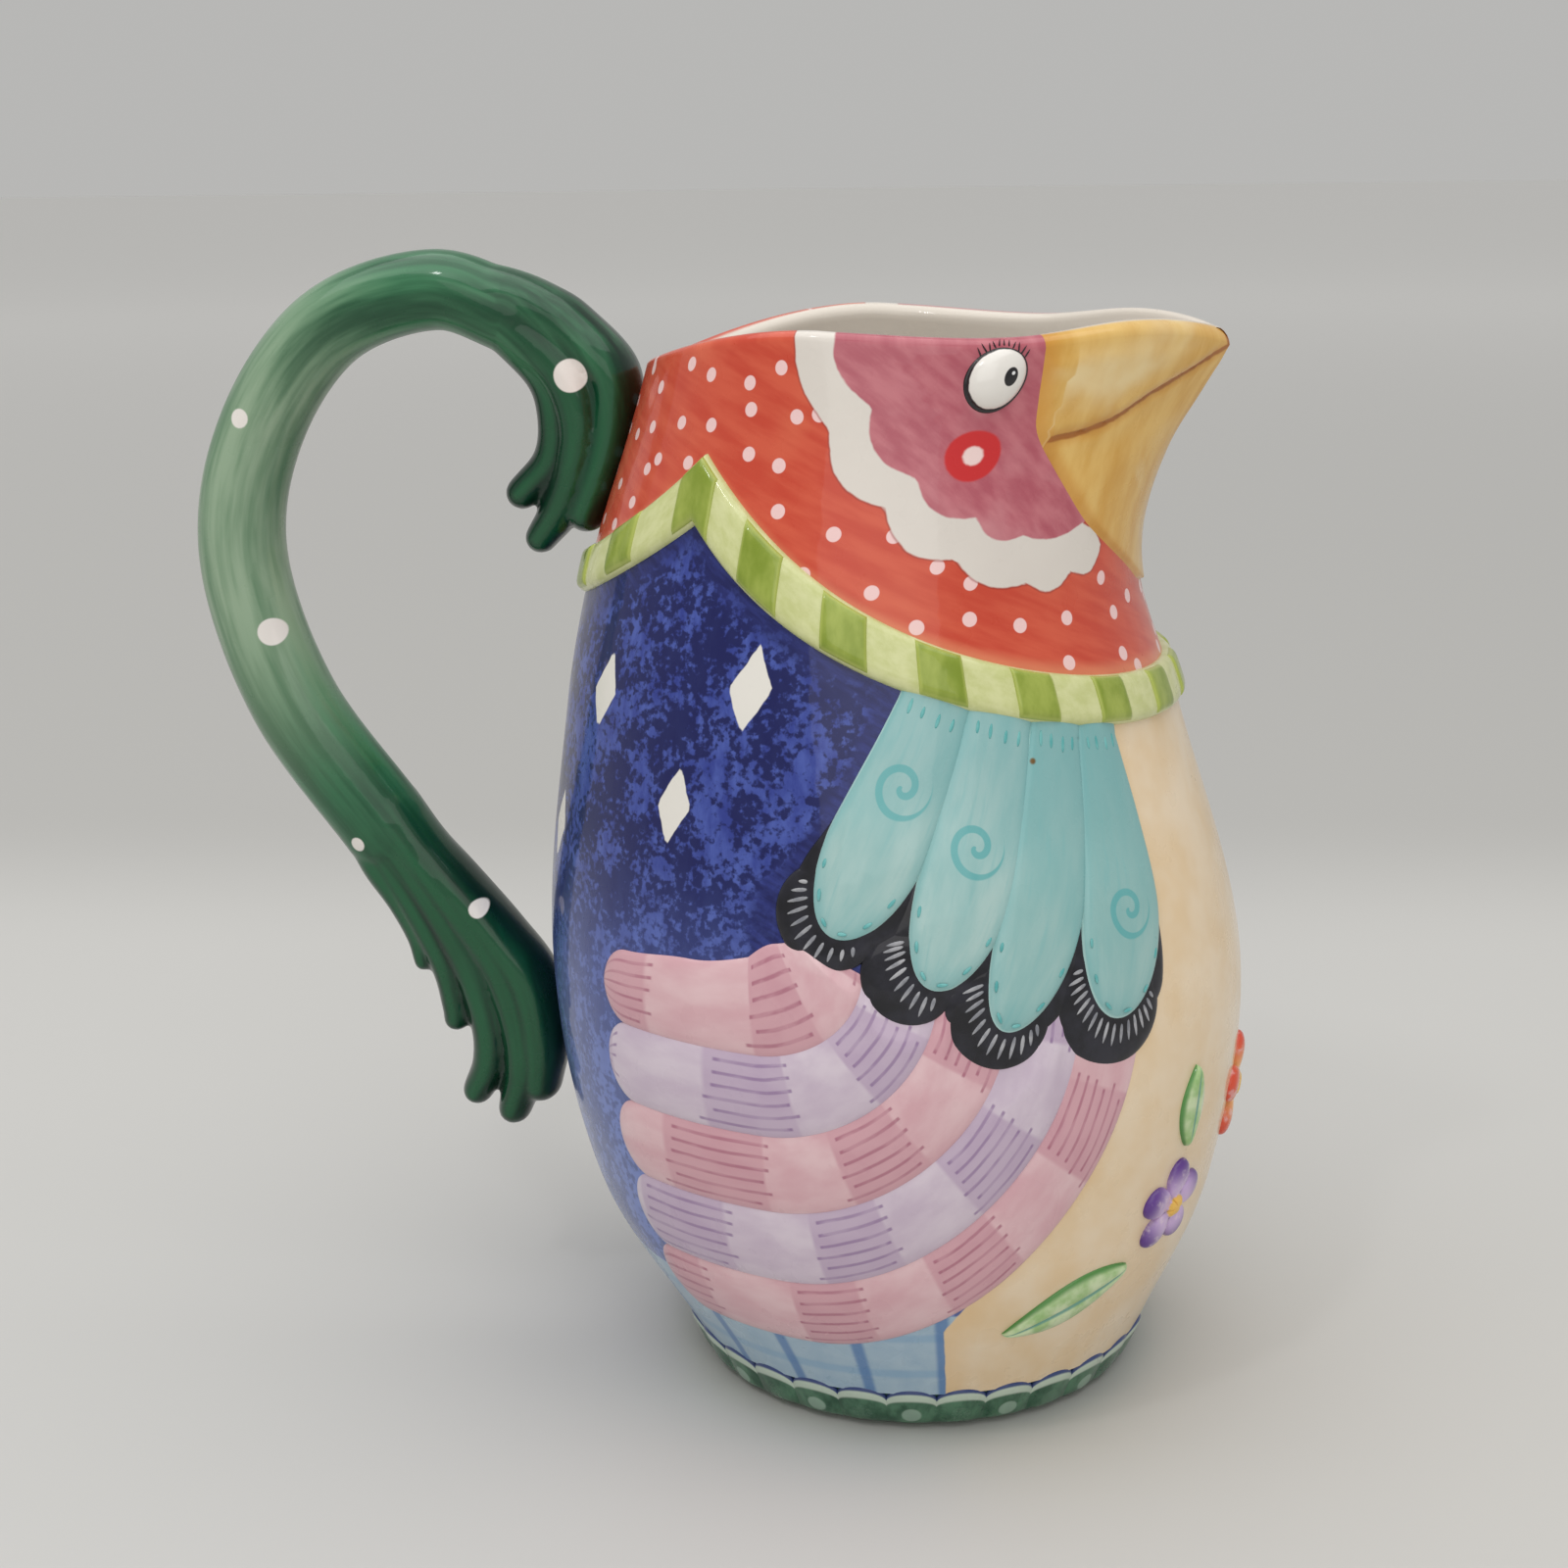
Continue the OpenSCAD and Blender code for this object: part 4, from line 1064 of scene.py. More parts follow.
def spot(side, a, z, a2, z2, rise, size=1.0):  # a stroke at (a, z) that runs towards (a2, z2)
    here, there = seated(side * a, z, rise), seated(side * a2, z2, rise)
    run = there - here
    return here, run / np.linalg.norm(run), facing(side * a, z), size


strokeShape = {
    "tickPitch": 2.5,  # between the ticks on the edging
    "tickInset": 1.0,  # clear of the feather
    "tickBorder": 1.9,  # clear of the edging's edge
    "tickApart": 0.6,  # clear of the round behind
    "tickLongest": 4.4,
    "tickShortest": 1.5,
    "tickWidth": 0.8,
    "tickFrom": 0.76,  # they fan out from here on the feather
    "tickSteps": 80,  # places tried along each
    "seat": 0.02,
    "stitchInset": 1.7,
    "stitches": (-62, -40, -14, 14, 40, 62),  # turns round a tip
    "stitchTurn": 4,
    "rootStitches": (-0.6, -0.2, 0.25, 0.62),  # across a root, as shares of its half width
    "rootLength": 1.3,
    "stitchLength": 2.2,
    "stitchWidth": 0.75,
    "thickness": 0.2,
}


def tickSpots(side):  # from the edge of each feather out towards the edge of its round
    s, feathers = strokeShape, wingShape["feathers"]
    last = s["tickSteps"] - 1
    share = np.linspace(0, 1, s["tickSteps"])
    found = []
    for i, f in enumerate(feathers):
        ca, cz = roundMid(i)
        k = float(perDegree(ca, cz))
        ma, mz = featherMid(f, s["tickFrom"])
        reach = wingShape["rounds"][i][2] - s["tickBorder"]
        count = round(2 * math.pi * reach / s["tickPitch"])
        for turn in np.arange(count) * 2 * math.pi / count:
            oa, oz = ca + reach * math.cos(turn) / k, cz + reach * math.sin(turn)
            a, z = mix(ma, oa, share), mix(mz, oz, share)
            gap = np.min([wingGap(g, a, z) for g in feathers], axis=0)
            covered = np.nonzero(gap < s["tickInset"])[0]
            under = i > 0 and roundGap(i - 1, oa, oz) < s["tickApart"]
            if under or len(covered) == 0 or covered[-1] == last:
                continue
            n = covered[-1]
            run = math.hypot((oa - a[n]) * k, oz - z[n])
            length = min(run, s["tickLongest"])
            if length > s["tickShortest"]:
                middle = n + int((last - n) * length / run / 2)
                found.append(spot(side, a[middle], z[middle], oa, oz, edgingTop(i) - s["seat"], length))
    return found


def tipPoint(f, turn):  # a point a little inside the outline of a feather's tip
    start, inset = wingShape["tipFrom"], strokeShape["stitchInset"]
    t = math.radians(turn)
    v = np.float64(start + (1 - start - inset / f[2]) * math.cos(t))
    return featherPlace(f, (float(featherHalf(f, v)) - inset) * math.sin(t), v)


def stitchSpots(side):
    s = strokeShape
    found = []
    for f in wingShape["feathers"]:
        share = np.float64(1 - s["stitchInset"] / featherHalf(f, 0.75))
        high = float(featherRise(share, np.float64(0.6)))
        for turn in s["stitches"]:
            found.append(spot(side, *tipPoint(f, turn), *tipPoint(f, turn + s["stitchTurn"]), high))
        for k in s["rootStitches"]:  # short upright stitches under the collar
            v = np.float64(0.01 + 0.02 * math.sin(9 * k)**2)
            across = k * featherHalf(f, v)
            here, below = featherPlace(f, across, v), featherPlace(f, across, v + 0.03)
            found.append(spot(side, *here, *below, float(featherRise(np.float64(k), v)), s["rootLength"]))
    return found


def plainPaint(dark, light, scale=300):
    def paint(b):
        return b.over(dark, light, b.noise(b.place(), scale, 3), 0.3, 0.7)
    return paint


tickGlaze = glaze("tickGlaze", plainPaint((124, 126, 134), (178, 178, 182)))
stitchGlaze = glaze("stitchGlaze", plainPaint((84, 168, 168), (120, 190, 188)))
strokeThick = strokeShape["thickness"] * mm
tickSize = {
    "Length": mm,
    "Width": strokeShape["tickWidth"] * mm,
    "Thickness": strokeThick,
    "Taper": -0.5,
    "Spread": 0.08,
}
stitchSize = {
    "Length": strokeShape["stitchLength"] * mm,
    "Width": strokeShape["stitchWidth"] * mm,
    "Thickness": strokeThick,
    "Taper": 0.2,
}
for sideName, side in sides.items():
    strokes(f"{sideName}EdgingTicks", tickSpots(side), tickGlaze, "edging_glaze", **tickSize)
    strokes(f"{sideName}Stitches", stitchSpots(side), stitchGlaze, "feather_glaze", **stitchSize)
print("ticks and stitches painted")


# Tail bands: low rounded bands that sweep round the flank to the wing

bandShape = {
    "sweepZ": 112,
    "sweepAngle": 104,
    "pitch": 17,
    "step": 11.2,
    "start": 134,
    "firstPitch": 0.16,
    "firstStep": 0.6,
    "rise": 1.35,
    "edgeShare": 0.45,  # of the rise, at the edges
    "overlap": 0.25,
    "count": 5,
    "roundFrom": 0.8,
    "lastTurn": 84,
    "under": 2.5,  # how far the bands run in under the edging
    "tuckFrom": 0.8,  # where they flatten to go under it
    "tuckRise": 0.28,
    "firstRise": 5.0,  # how far the first band rises to meet the wing
    "firstDrop": 1.8,
    "firstTurn": 0.35,  # where it goes from dropping to rising
    "firstForward": 2,  # degrees that its upper edge moves towards the beak
    # lengths for the painted blocks: behind the sweep, and round it from its radius
    "backRun": 36,
    "sweepR": 20,
    "sweepRun": 1.45,
    "blockShift": 11,
    "block": 23,
    "hatch": 2.62,
}


def bandPoint(k, w, t):
    s = bandShape
    rz = s["pitch"] * (k + s["firstPitch"]) + w
    ra = s["step"] * (k + s["firstStep"]) + w * s["step"] / s["pitch"]
    turn = np.radians(np.maximum(t, 0))
    straight = mix(s["sweepAngle"], s["start"], -np.minimum(t, 0))
    a = np.where(t < 0, straight, s["sweepAngle"] - ra * np.sin(turn))
    return a, s["sweepZ"] - rz * np.where(t < 0, 1, np.cos(turn))


def bandEnd(k, w):  # the turn at which a line along the band runs under the wing
    turns = np.arange(0, bandShape["lastTurn"] + 0.5, 0.5)
    a, z = bandPoint(k, w, turns)
    gaps = [roundGap(i, a, z) + bandShape["under"] for i in range(len(wingShape["rounds"]))]
    gaps += [wingGap(f, a, z) for f in wingShape["feathers"]]
    hidden = np.nonzero(np.min(gaps, axis=0) < 0)[0]
    return turns[hidden[0]] if len(hidden) else turns[-1]


def buildBand(k, side, name):
    s = bandShape
    half, start = s["pitch"] / 2 + s["overlap"], s["roundFrom"]
    across = crowded(21)
    ends = np.array([bandEnd(k, half * (u - 1)) for u in across])
    back = -mix(start, 1, crowdedEnd(20)[::-1])
    along = np.concatenate([back, np.linspace(-start, 0, 24)[1:], np.linspace(0, 1, 60)[1:]])

    def end(v):  # 0 on the band, 1 at its round back end
        return np.clip((-v - start) / (1 - start), 0, 1)

    def place(u, v):
        t = np.where(v < 0, v, v * ends[None, :])
        a, z = bandPoint(k, half * u * np.sqrt(1 - end(v)**2) - half, t)
        upper = (1 - u) / 2 * (k == 1)
        up = s["firstRise"] * ease((v + s["firstTurn"]) / 0.75)
        down = s["firstDrop"] * ease((-v - s["firstTurn"]) / 0.5)
        return a - s["firstForward"] * upper * ease(v), z + upper * (up - down)

    def rise(u, v):
        reach = np.sqrt(u * u * (1 - end(v)**2) + end(v)**2)
        tuck = mix(1, s["tuckRise"], ease((v - s["tuckFrom"]) / 0.15))
        return s["rise"] * mix(1, s["edgeShare"], reach**2) * rounded(reach, 8) * tuck

    def uv(u, v):
        sweep = v * ends[None, :] / 90 * (s["sweepR"] + s["pitch"] * k) * s["sweepRun"]
        run = np.where(v < 0, v * s["backRun"], sweep)
        return (run + s["blockShift"] * k) / mapUnit, u * half / mapUnit
    return makePiece(name, *relief(place, rise, across, along, side, uv))


def paintBand(pale, deep, line):
    def paint(b):
        uv = b.paintMap()
        x, y = b.split(uv)[:2]
        wash = b.noise(b.stretch(uv, (0.5, 1.4, 1)), 1.1, 4, 0.5)
        colour = b.over(pale[0], pale[1], wash, 0.3, 0.72)
        # every other block along the band is deeper and hatched
        along = b.math("DIVIDE", x, bandShape["block"] / mapUnit)
        block = b.math("PINGPONG", along, 1.0)
        deeper = b.times(b.ramp(block, 0.48, 0.54), b.ramp(wash, 0.3, 0.7, 0.25, 0.75))
        colour = b.blend(deeper, colour, deep)
        bend = b.jitter(b.noise(b.stretch(uv, (0.35, 0.6, 1)), 1.2, 1), 0.12)
        row = b.math("DIVIDE", b.math("ADD", y, bend), bandShape["hatch"] / mapUnit)
        chance = b.add("ShaderNodeTexWhiteNoise", {"W": b.math("FLOOR", row)}, noise_dimensions="1D")
        ragged = b.jitter(chance.outputs[0], 0.2)
        start = b.math("PINGPONG", b.math("ADD", along, ragged), 1.0)
        inLine = b.times(b.ramp(b.stripe(row), 0.19, 0.07), b.ramp(start, 0.5, 0.53))
        faint = b.ramp(b.noise(b.stretch(uv, (0.8, 5, 1)), 1.2, 2), 0.36, 0.62, 0.3, 0.65)
        press = b.math("MAXIMUM", b.ramp(start, 0.64, 0.54, 0.0, 0.75), faint)
        return b.blend(b.times(inLine, press), colour, line)
    return paint


pinkPaint = paintBand(((216, 170, 178), (228, 194, 198)), (200, 142, 156), (164, 92, 116))
lilacPaint = paintBand(((202, 184, 202), (218, 204, 216)), (180, 154, 184), (136, 104, 150))
bandGlazes = [(glaze("pinkGlaze", pinkPaint), "pink_glaze"), (glaze("lilacGlaze", lilacPaint), "lilac_glaze")]
for sideName, side in sides.items():
    for k in range(1, bandShape["count"] + 1):
        band = buildBand(k, side, f"{sideName}TailBand{k}")
        dress(band, *bandGlazes[(k - 1) % 2], f"{sideName}_tail_band_{k}")
print("tail bands laid")


# Eyes: white domes with a dark outline and pupil, and short lashes over them

eyeShape = {
    "angle": 64.7,
    "z": 222.2,
    "r": 6.0,
    "h": 2.7,
    "sink": 0.4,
    "flange": 0.09,
    "flangeRise": 0.32,
    "flangeThin": 0.75,  # how much narrower the outline is under the rim
    # back from the middle (negative is towards the beak), up, half width and half height
    "pupil": (-1.9, 0.7, 1.4, 1.85),
    "glint": (-0.3, 0.7, 0.36),  # back and up from the pupil's middle, and radius
    "lashes": 11,
    "lashLength": 2.3,
    "lashWidth": 0.34,
    "lashThickness": 0.16,
    "lashMid": -0.2,
    "lashSpan": 4.8,
    "lashArch": (7, 6.1),  # half width and height of the arch that they stand over
    "lashGap": 0.55,
    "lashLean": 0.55,
    "lashStray": 0.25,
}


def eyePlace(x, y):  # x back from the middle of the eye, y up
    k = perDegree(eyeShape["angle"], eyeShape["z"])
    return eyeShape["angle"] + x / k, eyeShape["z"] + y


def buildEye(side, name):
    s = eyeShape
    rho = np.concatenate([crowdedEnd(28), [1.02, 1.05, 1 + s["flange"]]])
    p, r = np.meshgrid(np.linspace(0, 2 * math.pi, 97), rho)
    narrow = 1 - s["flangeThin"] * np.clip(np.sin(p), 0, 1)
    out = np.where(r > 1, 1 + (r - 1) * narrow, r)
    x, y = s["r"] * out * np.cos(p), s["r"] * out * np.sin(p)
    a, z = eyePlace(x, y)
    dome = s["h"] * np.clip(1 - r * r, 0, 1)**0.55
    rise = np.maximum(dome, s["flangeRise"] * rounded((r - 1) / s["flange"], 2))
    top, low = seated(side * a, z, rise), seated(side * a, z, np.full(r.shape, -s["sink"]))
    return makePiece(name, *slab(top, low, (x / mapUnit, y / mapUnit), "disc"))


def paintEye(b):
    uv = b.paintMap()
    x, y = b.split(uv)[:2]

    def reach(cx, cy, wide=mapUnit, high=mapUnit):  # from a point, by half width and half height
        dx = b.math("DIVIDE", b.math("SUBTRACT", x, cx / mapUnit), wide / mapUnit)
        dy = b.math("DIVIDE", b.math("SUBTRACT", y, cy / mapUnit), high / mapUnit)
        return b.reach(dx, dy)
    white = b.blend(b.noise(b.place(), 160, 2), (240, 236, 230), (228, 223, 216))
    edge = eyeShape["r"] / mapUnit
    outline = b.math("ADD", reach(-0.07, 0.08), b.jitter(b.noise(uv, 6, 1), 0.03))
    white = b.over(white, (22, 18, 22), outline, edge - 0.035, edge - 0.015)
    px, py, wide, high = eyeShape["pupil"]
    white = b.over(white, (18, 16, 20), reach(px, py, wide, high), 1.06, 0.94)
    back, up, r = eyeShape["glint"]
    return b.over(white, (236, 236, 236), reach(px + back, py + up, r, r), 1.15, 0.85)


def lashSpots(side):
    s = eyeShape
    wide, high = s["lashArch"]
    found = []
    for i in range(s["lashes"]):
        t = i / (s["lashes"] - 1) * 2 - 1
        x = s["lashMid"] + s["lashSpan"] * t
        y = high * math.sqrt(1 - (x / wide)**2) + s["lashGap"]
        lean = s["lashStray"] * math.sin(3.7 * i + 0.5) + s["lashLean"] * t
        size = 0.8 + 0.3 * math.sin(2.3 * i)**2
        found.append(spot(side, *eyePlace(x, y), *eyePlace(x + lean, y + 1), 0.05, size))
    return found


eyeGlaze = glaze("eyeGlaze", paintEye, (0.14, 0.24), 0.9, 0.02)
lashGlaze = glaze("lashGlaze", plainPaint((20, 16, 20), (44, 36, 42)))
lashSize = {
    "Length": eyeShape["lashLength"] * mm,
    "Width": eyeShape["lashWidth"] * mm,
    "Thickness": eyeShape["lashThickness"] * mm,
    "Taper": -0.6,
}
for sideName, side in sides.items():
    dress(buildEye(side, f"{sideName}Eye"), eyeGlaze, "eye_glaze", f"{sideName}_eye")
    strokes(f"{sideName}Lashes", lashSpots(side), lashGlaze, "eye_glaze", **lashSize)
print("eyes set")


# Breast sprig: five-petalled blossoms and leaves

sprigShape = {
    "z": 64,
    "r": 12,
    "rise": 2.0,
    "petals": 5,
    "centre": 0.24,
    "centreRise": 1.2,
    # across, up, size and warmth of the colour
    "blossoms": [(0, 0, 1, 1), (37, -14, 0.84, 0), (-37, -14, 0.84, 0)],
    # across, up, tilt and length
    "leaves": [(46, -25, -26, 26), (37, -1, 90, 18), (-46, -25, 206, 26), (-37, -1, 90, 18)],
    "leafHalf": 0.24,
    "veinDepth": 0.275,
    "veinHalf": 0.12,
}


def onBreast(x, y):
    z = sprigShape["z"] + y
    return x / perDegree(0 * z, z), z


def buildBlossom():
    s = sprigShape
    theta, share = np.meshgrid(np.linspace(0, 2 * math.pi, 161), crowdedEnd(26))
    lobe = np.abs(np.cos(s["petals"] / 2 * (theta - math.pi / 2)))
    crease = mix(1, 0.45 + 0.55 * lobe**0.6, ease(share / 0.4))
    cup = mix(0.62, 1, ease(share * 1.3)) * rounded(share, 7)
    reach = (0.34 + 0.66 * lobe**0.5) * share
    button = s["centreRise"] * np.sqrt(np.clip(1 - (reach / s["centre"])**2, 0, 1))
    rise = s["rise"] * crease * cup + button
    across, up = reach * np.cos(theta), reach * np.sin(theta)
    heads, warmth = [], []
    for x, y, size, warm in s["blossoms"]:
        r = s["r"] * size
        a, z = onBreast(x + r * across, y + r * up)
        heads.append(raised(a, z, rise, (across, up), "disc"))
        warmth.append(np.full(len(heads[-1][0]), warm))
    return makePiece("breastBlossom", *joined(heads), {"warmth": np.concatenate(warmth)})


def buildLeaves():
    s = sprigShape

    def rise(u, v):
        vein = s["veinDepth"] * np.exp(-(u / s["veinHalf"])**2)
        back = 0.85 * (1 - 0.6 * u * u) - vein
        return s["rise"] * back * rounded(u, 8) * rounded(2 * v - 1, 12)
    leaves = []
    for x, y, tilt, long in s["leaves"]:
        c, t = math.cos(math.radians(tilt)), math.sin(math.radians(tilt))

        def place(u, v):
            w = u * s["leafHalf"] * long * np.sin(np.pi * np.clip(v, 0.004, 0.996))**0.8
            return onBreast(x + long * v * c + w * t, y + long * v * t - w * c)
        leaves.append(relief(place, rise, crowded(25), (crowded(41) + 1) / 2, 1))
    return makePiece("breastLeaves", *joined(leaves))


def paintBlossom(b):
    r = b.reach(*b.split(b.paintMap())[:2])
    ray = b.noise(b.stretch(b.place(), (900, 900, 900)), 0.5, 3)
    cool = b.over((206, 178, 222), (98, 62, 142), r, 0.4, 0.95)
    warm = b.over((244, 190, 130), (220, 84, 60), r, 0.4, 0.95)
    petal = b.blend(b.field("warmth"), cool, warm)
    petal = b.over(petal, (240, 222, 226), ray, 0.52, 0.7, 0.0, 0.4)
    edge = sprigShape["centre"]
    return b.over(petal, (238, 190, 92), r, edge + 0.02, edge - 0.02)


def paintLeaves(b):
    off = b.math("ABSOLUTE", b.split(b.paintMap())[0])
    wash = b.noise(b.place(), 210, 3)
    leaf = b.over((150, 190, 120), (206, 222, 180), wash, 0.3, 0.7)
    leaf = b.over(leaf, (86, 142, 74), off, 0.72, 0.96)
    return b.over(leaf, (96, 160, 150), off, 0.14, 0.05, 0.0, 0.85)


dress(buildBlossom(), glaze("blossomGlaze", paintBlossom), "blossom_glaze", "breast_blossom")
dress(buildLeaves(), glaze("leafGlaze", paintLeaves), "leaf_glaze", "breast_leaves")
print("breast sprig laid")


# Handle: a swept bow whose ends fan out into ridged leaves on the body

handleShape = {
    # centre line of the bow: distance behind the back for its ends, x between them, and height
    "ends": [(29.8, 230.3), (41.7, 115.6)],
    "route": [(-104.6, 236.1), (-128.7, 228), (-145.8, 205.6), (-151.8, 177.9), (-142.3, 145.2)],
    "topHalf": 8.5,
    "lowHalf": 10.5,
    "width": 9,
    # fingers: distance behind the back, height, radius and half width of each knuckle
    "upper": [
        [(33, 228, 4.5, 7), (20.8, 217.8, 4.4, 6.5), (16, 208.3, 4.2, 6.5), (15.2, 199.6, 4.2, 6),
         (20, 192.6, 3.7, 5)],
        [(33, 230.5, 6.5, 8.5), (17, 220, 7, 9.5), (10, 208.5, 6.2, 9.5), (9, 198, 5.4, 8.5),
         (10.4, 189.5, 4.6, 7), (13.6, 182.8, 3.5, 5)],
        [(44, 236.2, 7.2, 8), (31.5, 233.9, 6.7, 8.3), (23.7, 231, 6.4, 8.6), (17.5, 227.6, 6.2, 9),
         (6, 218.6, 5.6, 9.5), (3, 208, 5.2, 9), (3, 197, 4.8, 8.5), (4.5, 188.5, 4.4, 7)],
    ],
    "lower": [
        [(48, 115, 4, 5.5), (43.2, 107, 4.3, 6), (38, 98.7, 3.7, 5.5), (34.5, 90.5, 3.2, 5),
         (34, 84.2, 2.4, 4.5)],
        [(45, 116, 5, 6.5), (34, 98, 4.6, 7), (28.5, 84, 4, 6.5), (28, 74, 3.4, 5.5), (28.5, 70.6, 3.1, 5)],
        [(43, 117, 6, 7), (30, 100, 5.5, 8), (22.5, 84, 5.2, 7.5), (20.5, 70, 4.8, 7), (22.7, 60.5, 4.4, 6.5),
         (28, 53.2, 3.6, 5.5)],
        [(42, 119, 6, 7.5), (25.8, 101, 6, 9), (16, 86, 6, 8.5), (13, 71, 5.6, 8), (15, 59, 5, 7),
         (20.5, 49.2, 3.9, 6)],
        [(40.1, 121.3, 5.3, 7.5), (33, 111.5, 5.7, 8), (25, 103.4, 5.3, 8.5), (15, 90.8, 5.8, 9),
         (9, 80, 6.5, 9), (9, 66, 6, 8.5), (12, 56, 4.8, 7)],
    ],
    "rings": 90,
    "voxel": 0.7,
    "smoothing": 7,
    # dots of pale colour on both sides: x, height and radius
    "dots": [
        (-72.4, 218.6, 3.5), (-147.1, 209.2, 2.1), (-143.2, 161.9, 3.0), (-126, 113.4, 1.7),
        (-98.5, 99.2, 2.0),
    ],
    "dotsOut": 2.5,  # they start this far from the plane of symmetry
}


def inPlane(knot):  # a knot with its x in place of the distance behind the back
    return float(behind(knot[0], knot[1])), *knot[1:]


def evenly(knots, n):  # points on a smooth curve, as many between any two knots
    return through([(i, *p) for i, p in enumerate(knots)], np.linspace(0, len(knots) - 1, n))


def bowLine(n):
    start, end = (inPlane(p) for p in handleShape["ends"])
    return evenly([start] + handleShape["route"] + [end], n)


def fingerPath(finger):  # x, height, radius and half width along a finger
    return evenly([inPlane(p) for p in finger], 14 * len(finger))


def directions(line):
    way = np.gradient(line, axis=0)
    return way / np.linalg.norm(way, axis=1, keepdims=True)


def sweep(line, half, width, around=28):  # points and faces of a round-ended tube in the plane of symmetry
    way = directions(line)
    caps = np.radians([88, 72, 54, 36, 18])
    head = [line[0] - way[0] * half[0] * math.sin(c) for c in caps]
    tail = [line[-1] + way[-1] * half[-1] * math.sin(c) for c in caps[::-1]]
    centre = np.concatenate([head, line, tail])
    shrink = np.concatenate([np.cos(caps), np.ones(len(line)), np.cos(caps[::-1])])
    full = np.pad(half, len(caps), mode="edge") * shrink
    wide = np.pad(width, len(caps), mode="edge") * shrink
    ways = np.pad(way, ((len(caps), len(caps)), (0, 0)), mode="edge")
    turn = np.linspace(0, 2 * math.pi, around + 1)
    out = np.cos(turn)[None, :] * full[:, None]
    points = np.stack([centre[:, :1] + ways[:, 1:] * out, np.sin(turn)[None, :] * wide[:, None],
                       centre[:, 1:] - ways[:, :1] * out], -1)
    rows, cols = points.shape[:2]
    index = np.arange(rows * cols).reshape(rows, cols)
    faces = gridFaces(rows, cols).tolist()
    for pole, ring in enumerate((index[0], index[-1]), rows * cols):
        faces += [(a, b, pole) for a, b in zip(ring[:-1].tolist(), ring[1:].tolist())]
    return np.concatenate([points.reshape(-1, 3), [points[0].mean(0), points[-1].mean(0)]]), faces


def buildHandle():
    s, n = handleShape, handleShape["rings"]
    bowHalf = mix(s["topHalf"], s["lowHalf"], ease(np.linspace(0, 1, n)))
    tubes = [(bowLine(n), bowHalf, np.full(n, float(s["width"])))]
    for finger in s["upper"] + s["lower"]:
        path = fingerPath(finger)
        tubes.append((path[:, :2], path[:, 2], path[:, 3]))
    work = bmesh.new()
    for tube in tubes:
        points, faces = sweep(*tube)
        verts = [work.verts.new(p) for p in (points * mm).tolist()]
        for face in faces:
            work.faces.new([verts[i] for i in face])
    bmesh.ops.remove_doubles(work, verts=work.verts, dist=1e-6)
    bmesh.ops.recalc_face_normals(work, faces=work.faces)
    mesh = bpy.data.meshes.new("handleRough")
    work.to_mesh(mesh)
    work.free()
    rough = linked("handleRough", mesh)
    fuse = rough.modifiers.new("fuse", "REMESH")
    fuse.mode, fuse.voxel_size = "VOXEL", s["voxel"] * mm
    soften = rough.modifiers.new("soften", "SMOOTH")
    soften.factor, soften.iterations = 0.5, s["smoothing"]
    done = rough.evaluated_get(bpy.context.evaluated_depsgraph_get())
    fused = bpy.data.meshes.new_from_object(done)
    bpy.data.objects.remove(rough)
    fused.name = "handle"
    addGrain(fused)
    cleanMesh(fused)
    return linked("handle", fused)


def addGrain(mesh):  # fields for the glaze: along the handle, off its middle line, ridges and dots
    co = np.empty(len(mesh.vertices) * 3)
    mesh.vertices.foreach_get("co", co)
    co = co.reshape(-1, 3) / mm
    flat = co[:, [0, 2]]
    # the middle line runs from the tip of an upper finger over the bow to the tip of a lower one
    up, down = handleShape["upper"][1], handleShape["lower"][2]
    tips = [[inPlane(p[:2]) for p in finger[1:]] for finger in (up, down)]
    line = evenly(tips[0][::-1] + bowLine(40).tolist() + tips[1], 900)
    run = np.concatenate([[0], np.cumsum(np.linalg.norm(np.diff(line, axis=0), axis=1))])
    batches = np.array_split(flat, 60)
    near = np.concatenate([np.argmin(((part[:, None] - line[None])**2).sum(-1), 1) for part in batches])
    way = directions(line)
    gap = flat - line[near]
    off = gap[:, 0] * way[near, 1] - gap[:, 1] * way[near, 0]
    ridge = np.full(len(co), farOff)  # 0 along the middle of a finger, about 0.7 in the grooves
    for finger in handleShape["upper"] + handleShape["lower"]:
        for x, z, radius, _ in fingerPath(finger):
            ridge = np.minimum(ridge, np.hypot(co[:, 0] - x, co[:, 2] - z) / radius)
    dots = np.full(len(co), farOff)
    for x, z, radius in handleShape["dots"]:
        dots = np.minimum(dots, np.hypot(co[:, 0] - x, co[:, 2] - z) - radius)
    addField(mesh, "grain", np.stack([run[near], off, co[:, 1]], 1) / mapUnit, "FLOAT_VECTOR")
    addField(mesh, "along", run[near] / run[-1])
    addField(mesh, "ridge", ridge)
    addField(mesh, "dots", np.where(np.abs(co[:, 1]) > handleShape["dotsOut"], dots, farOff))


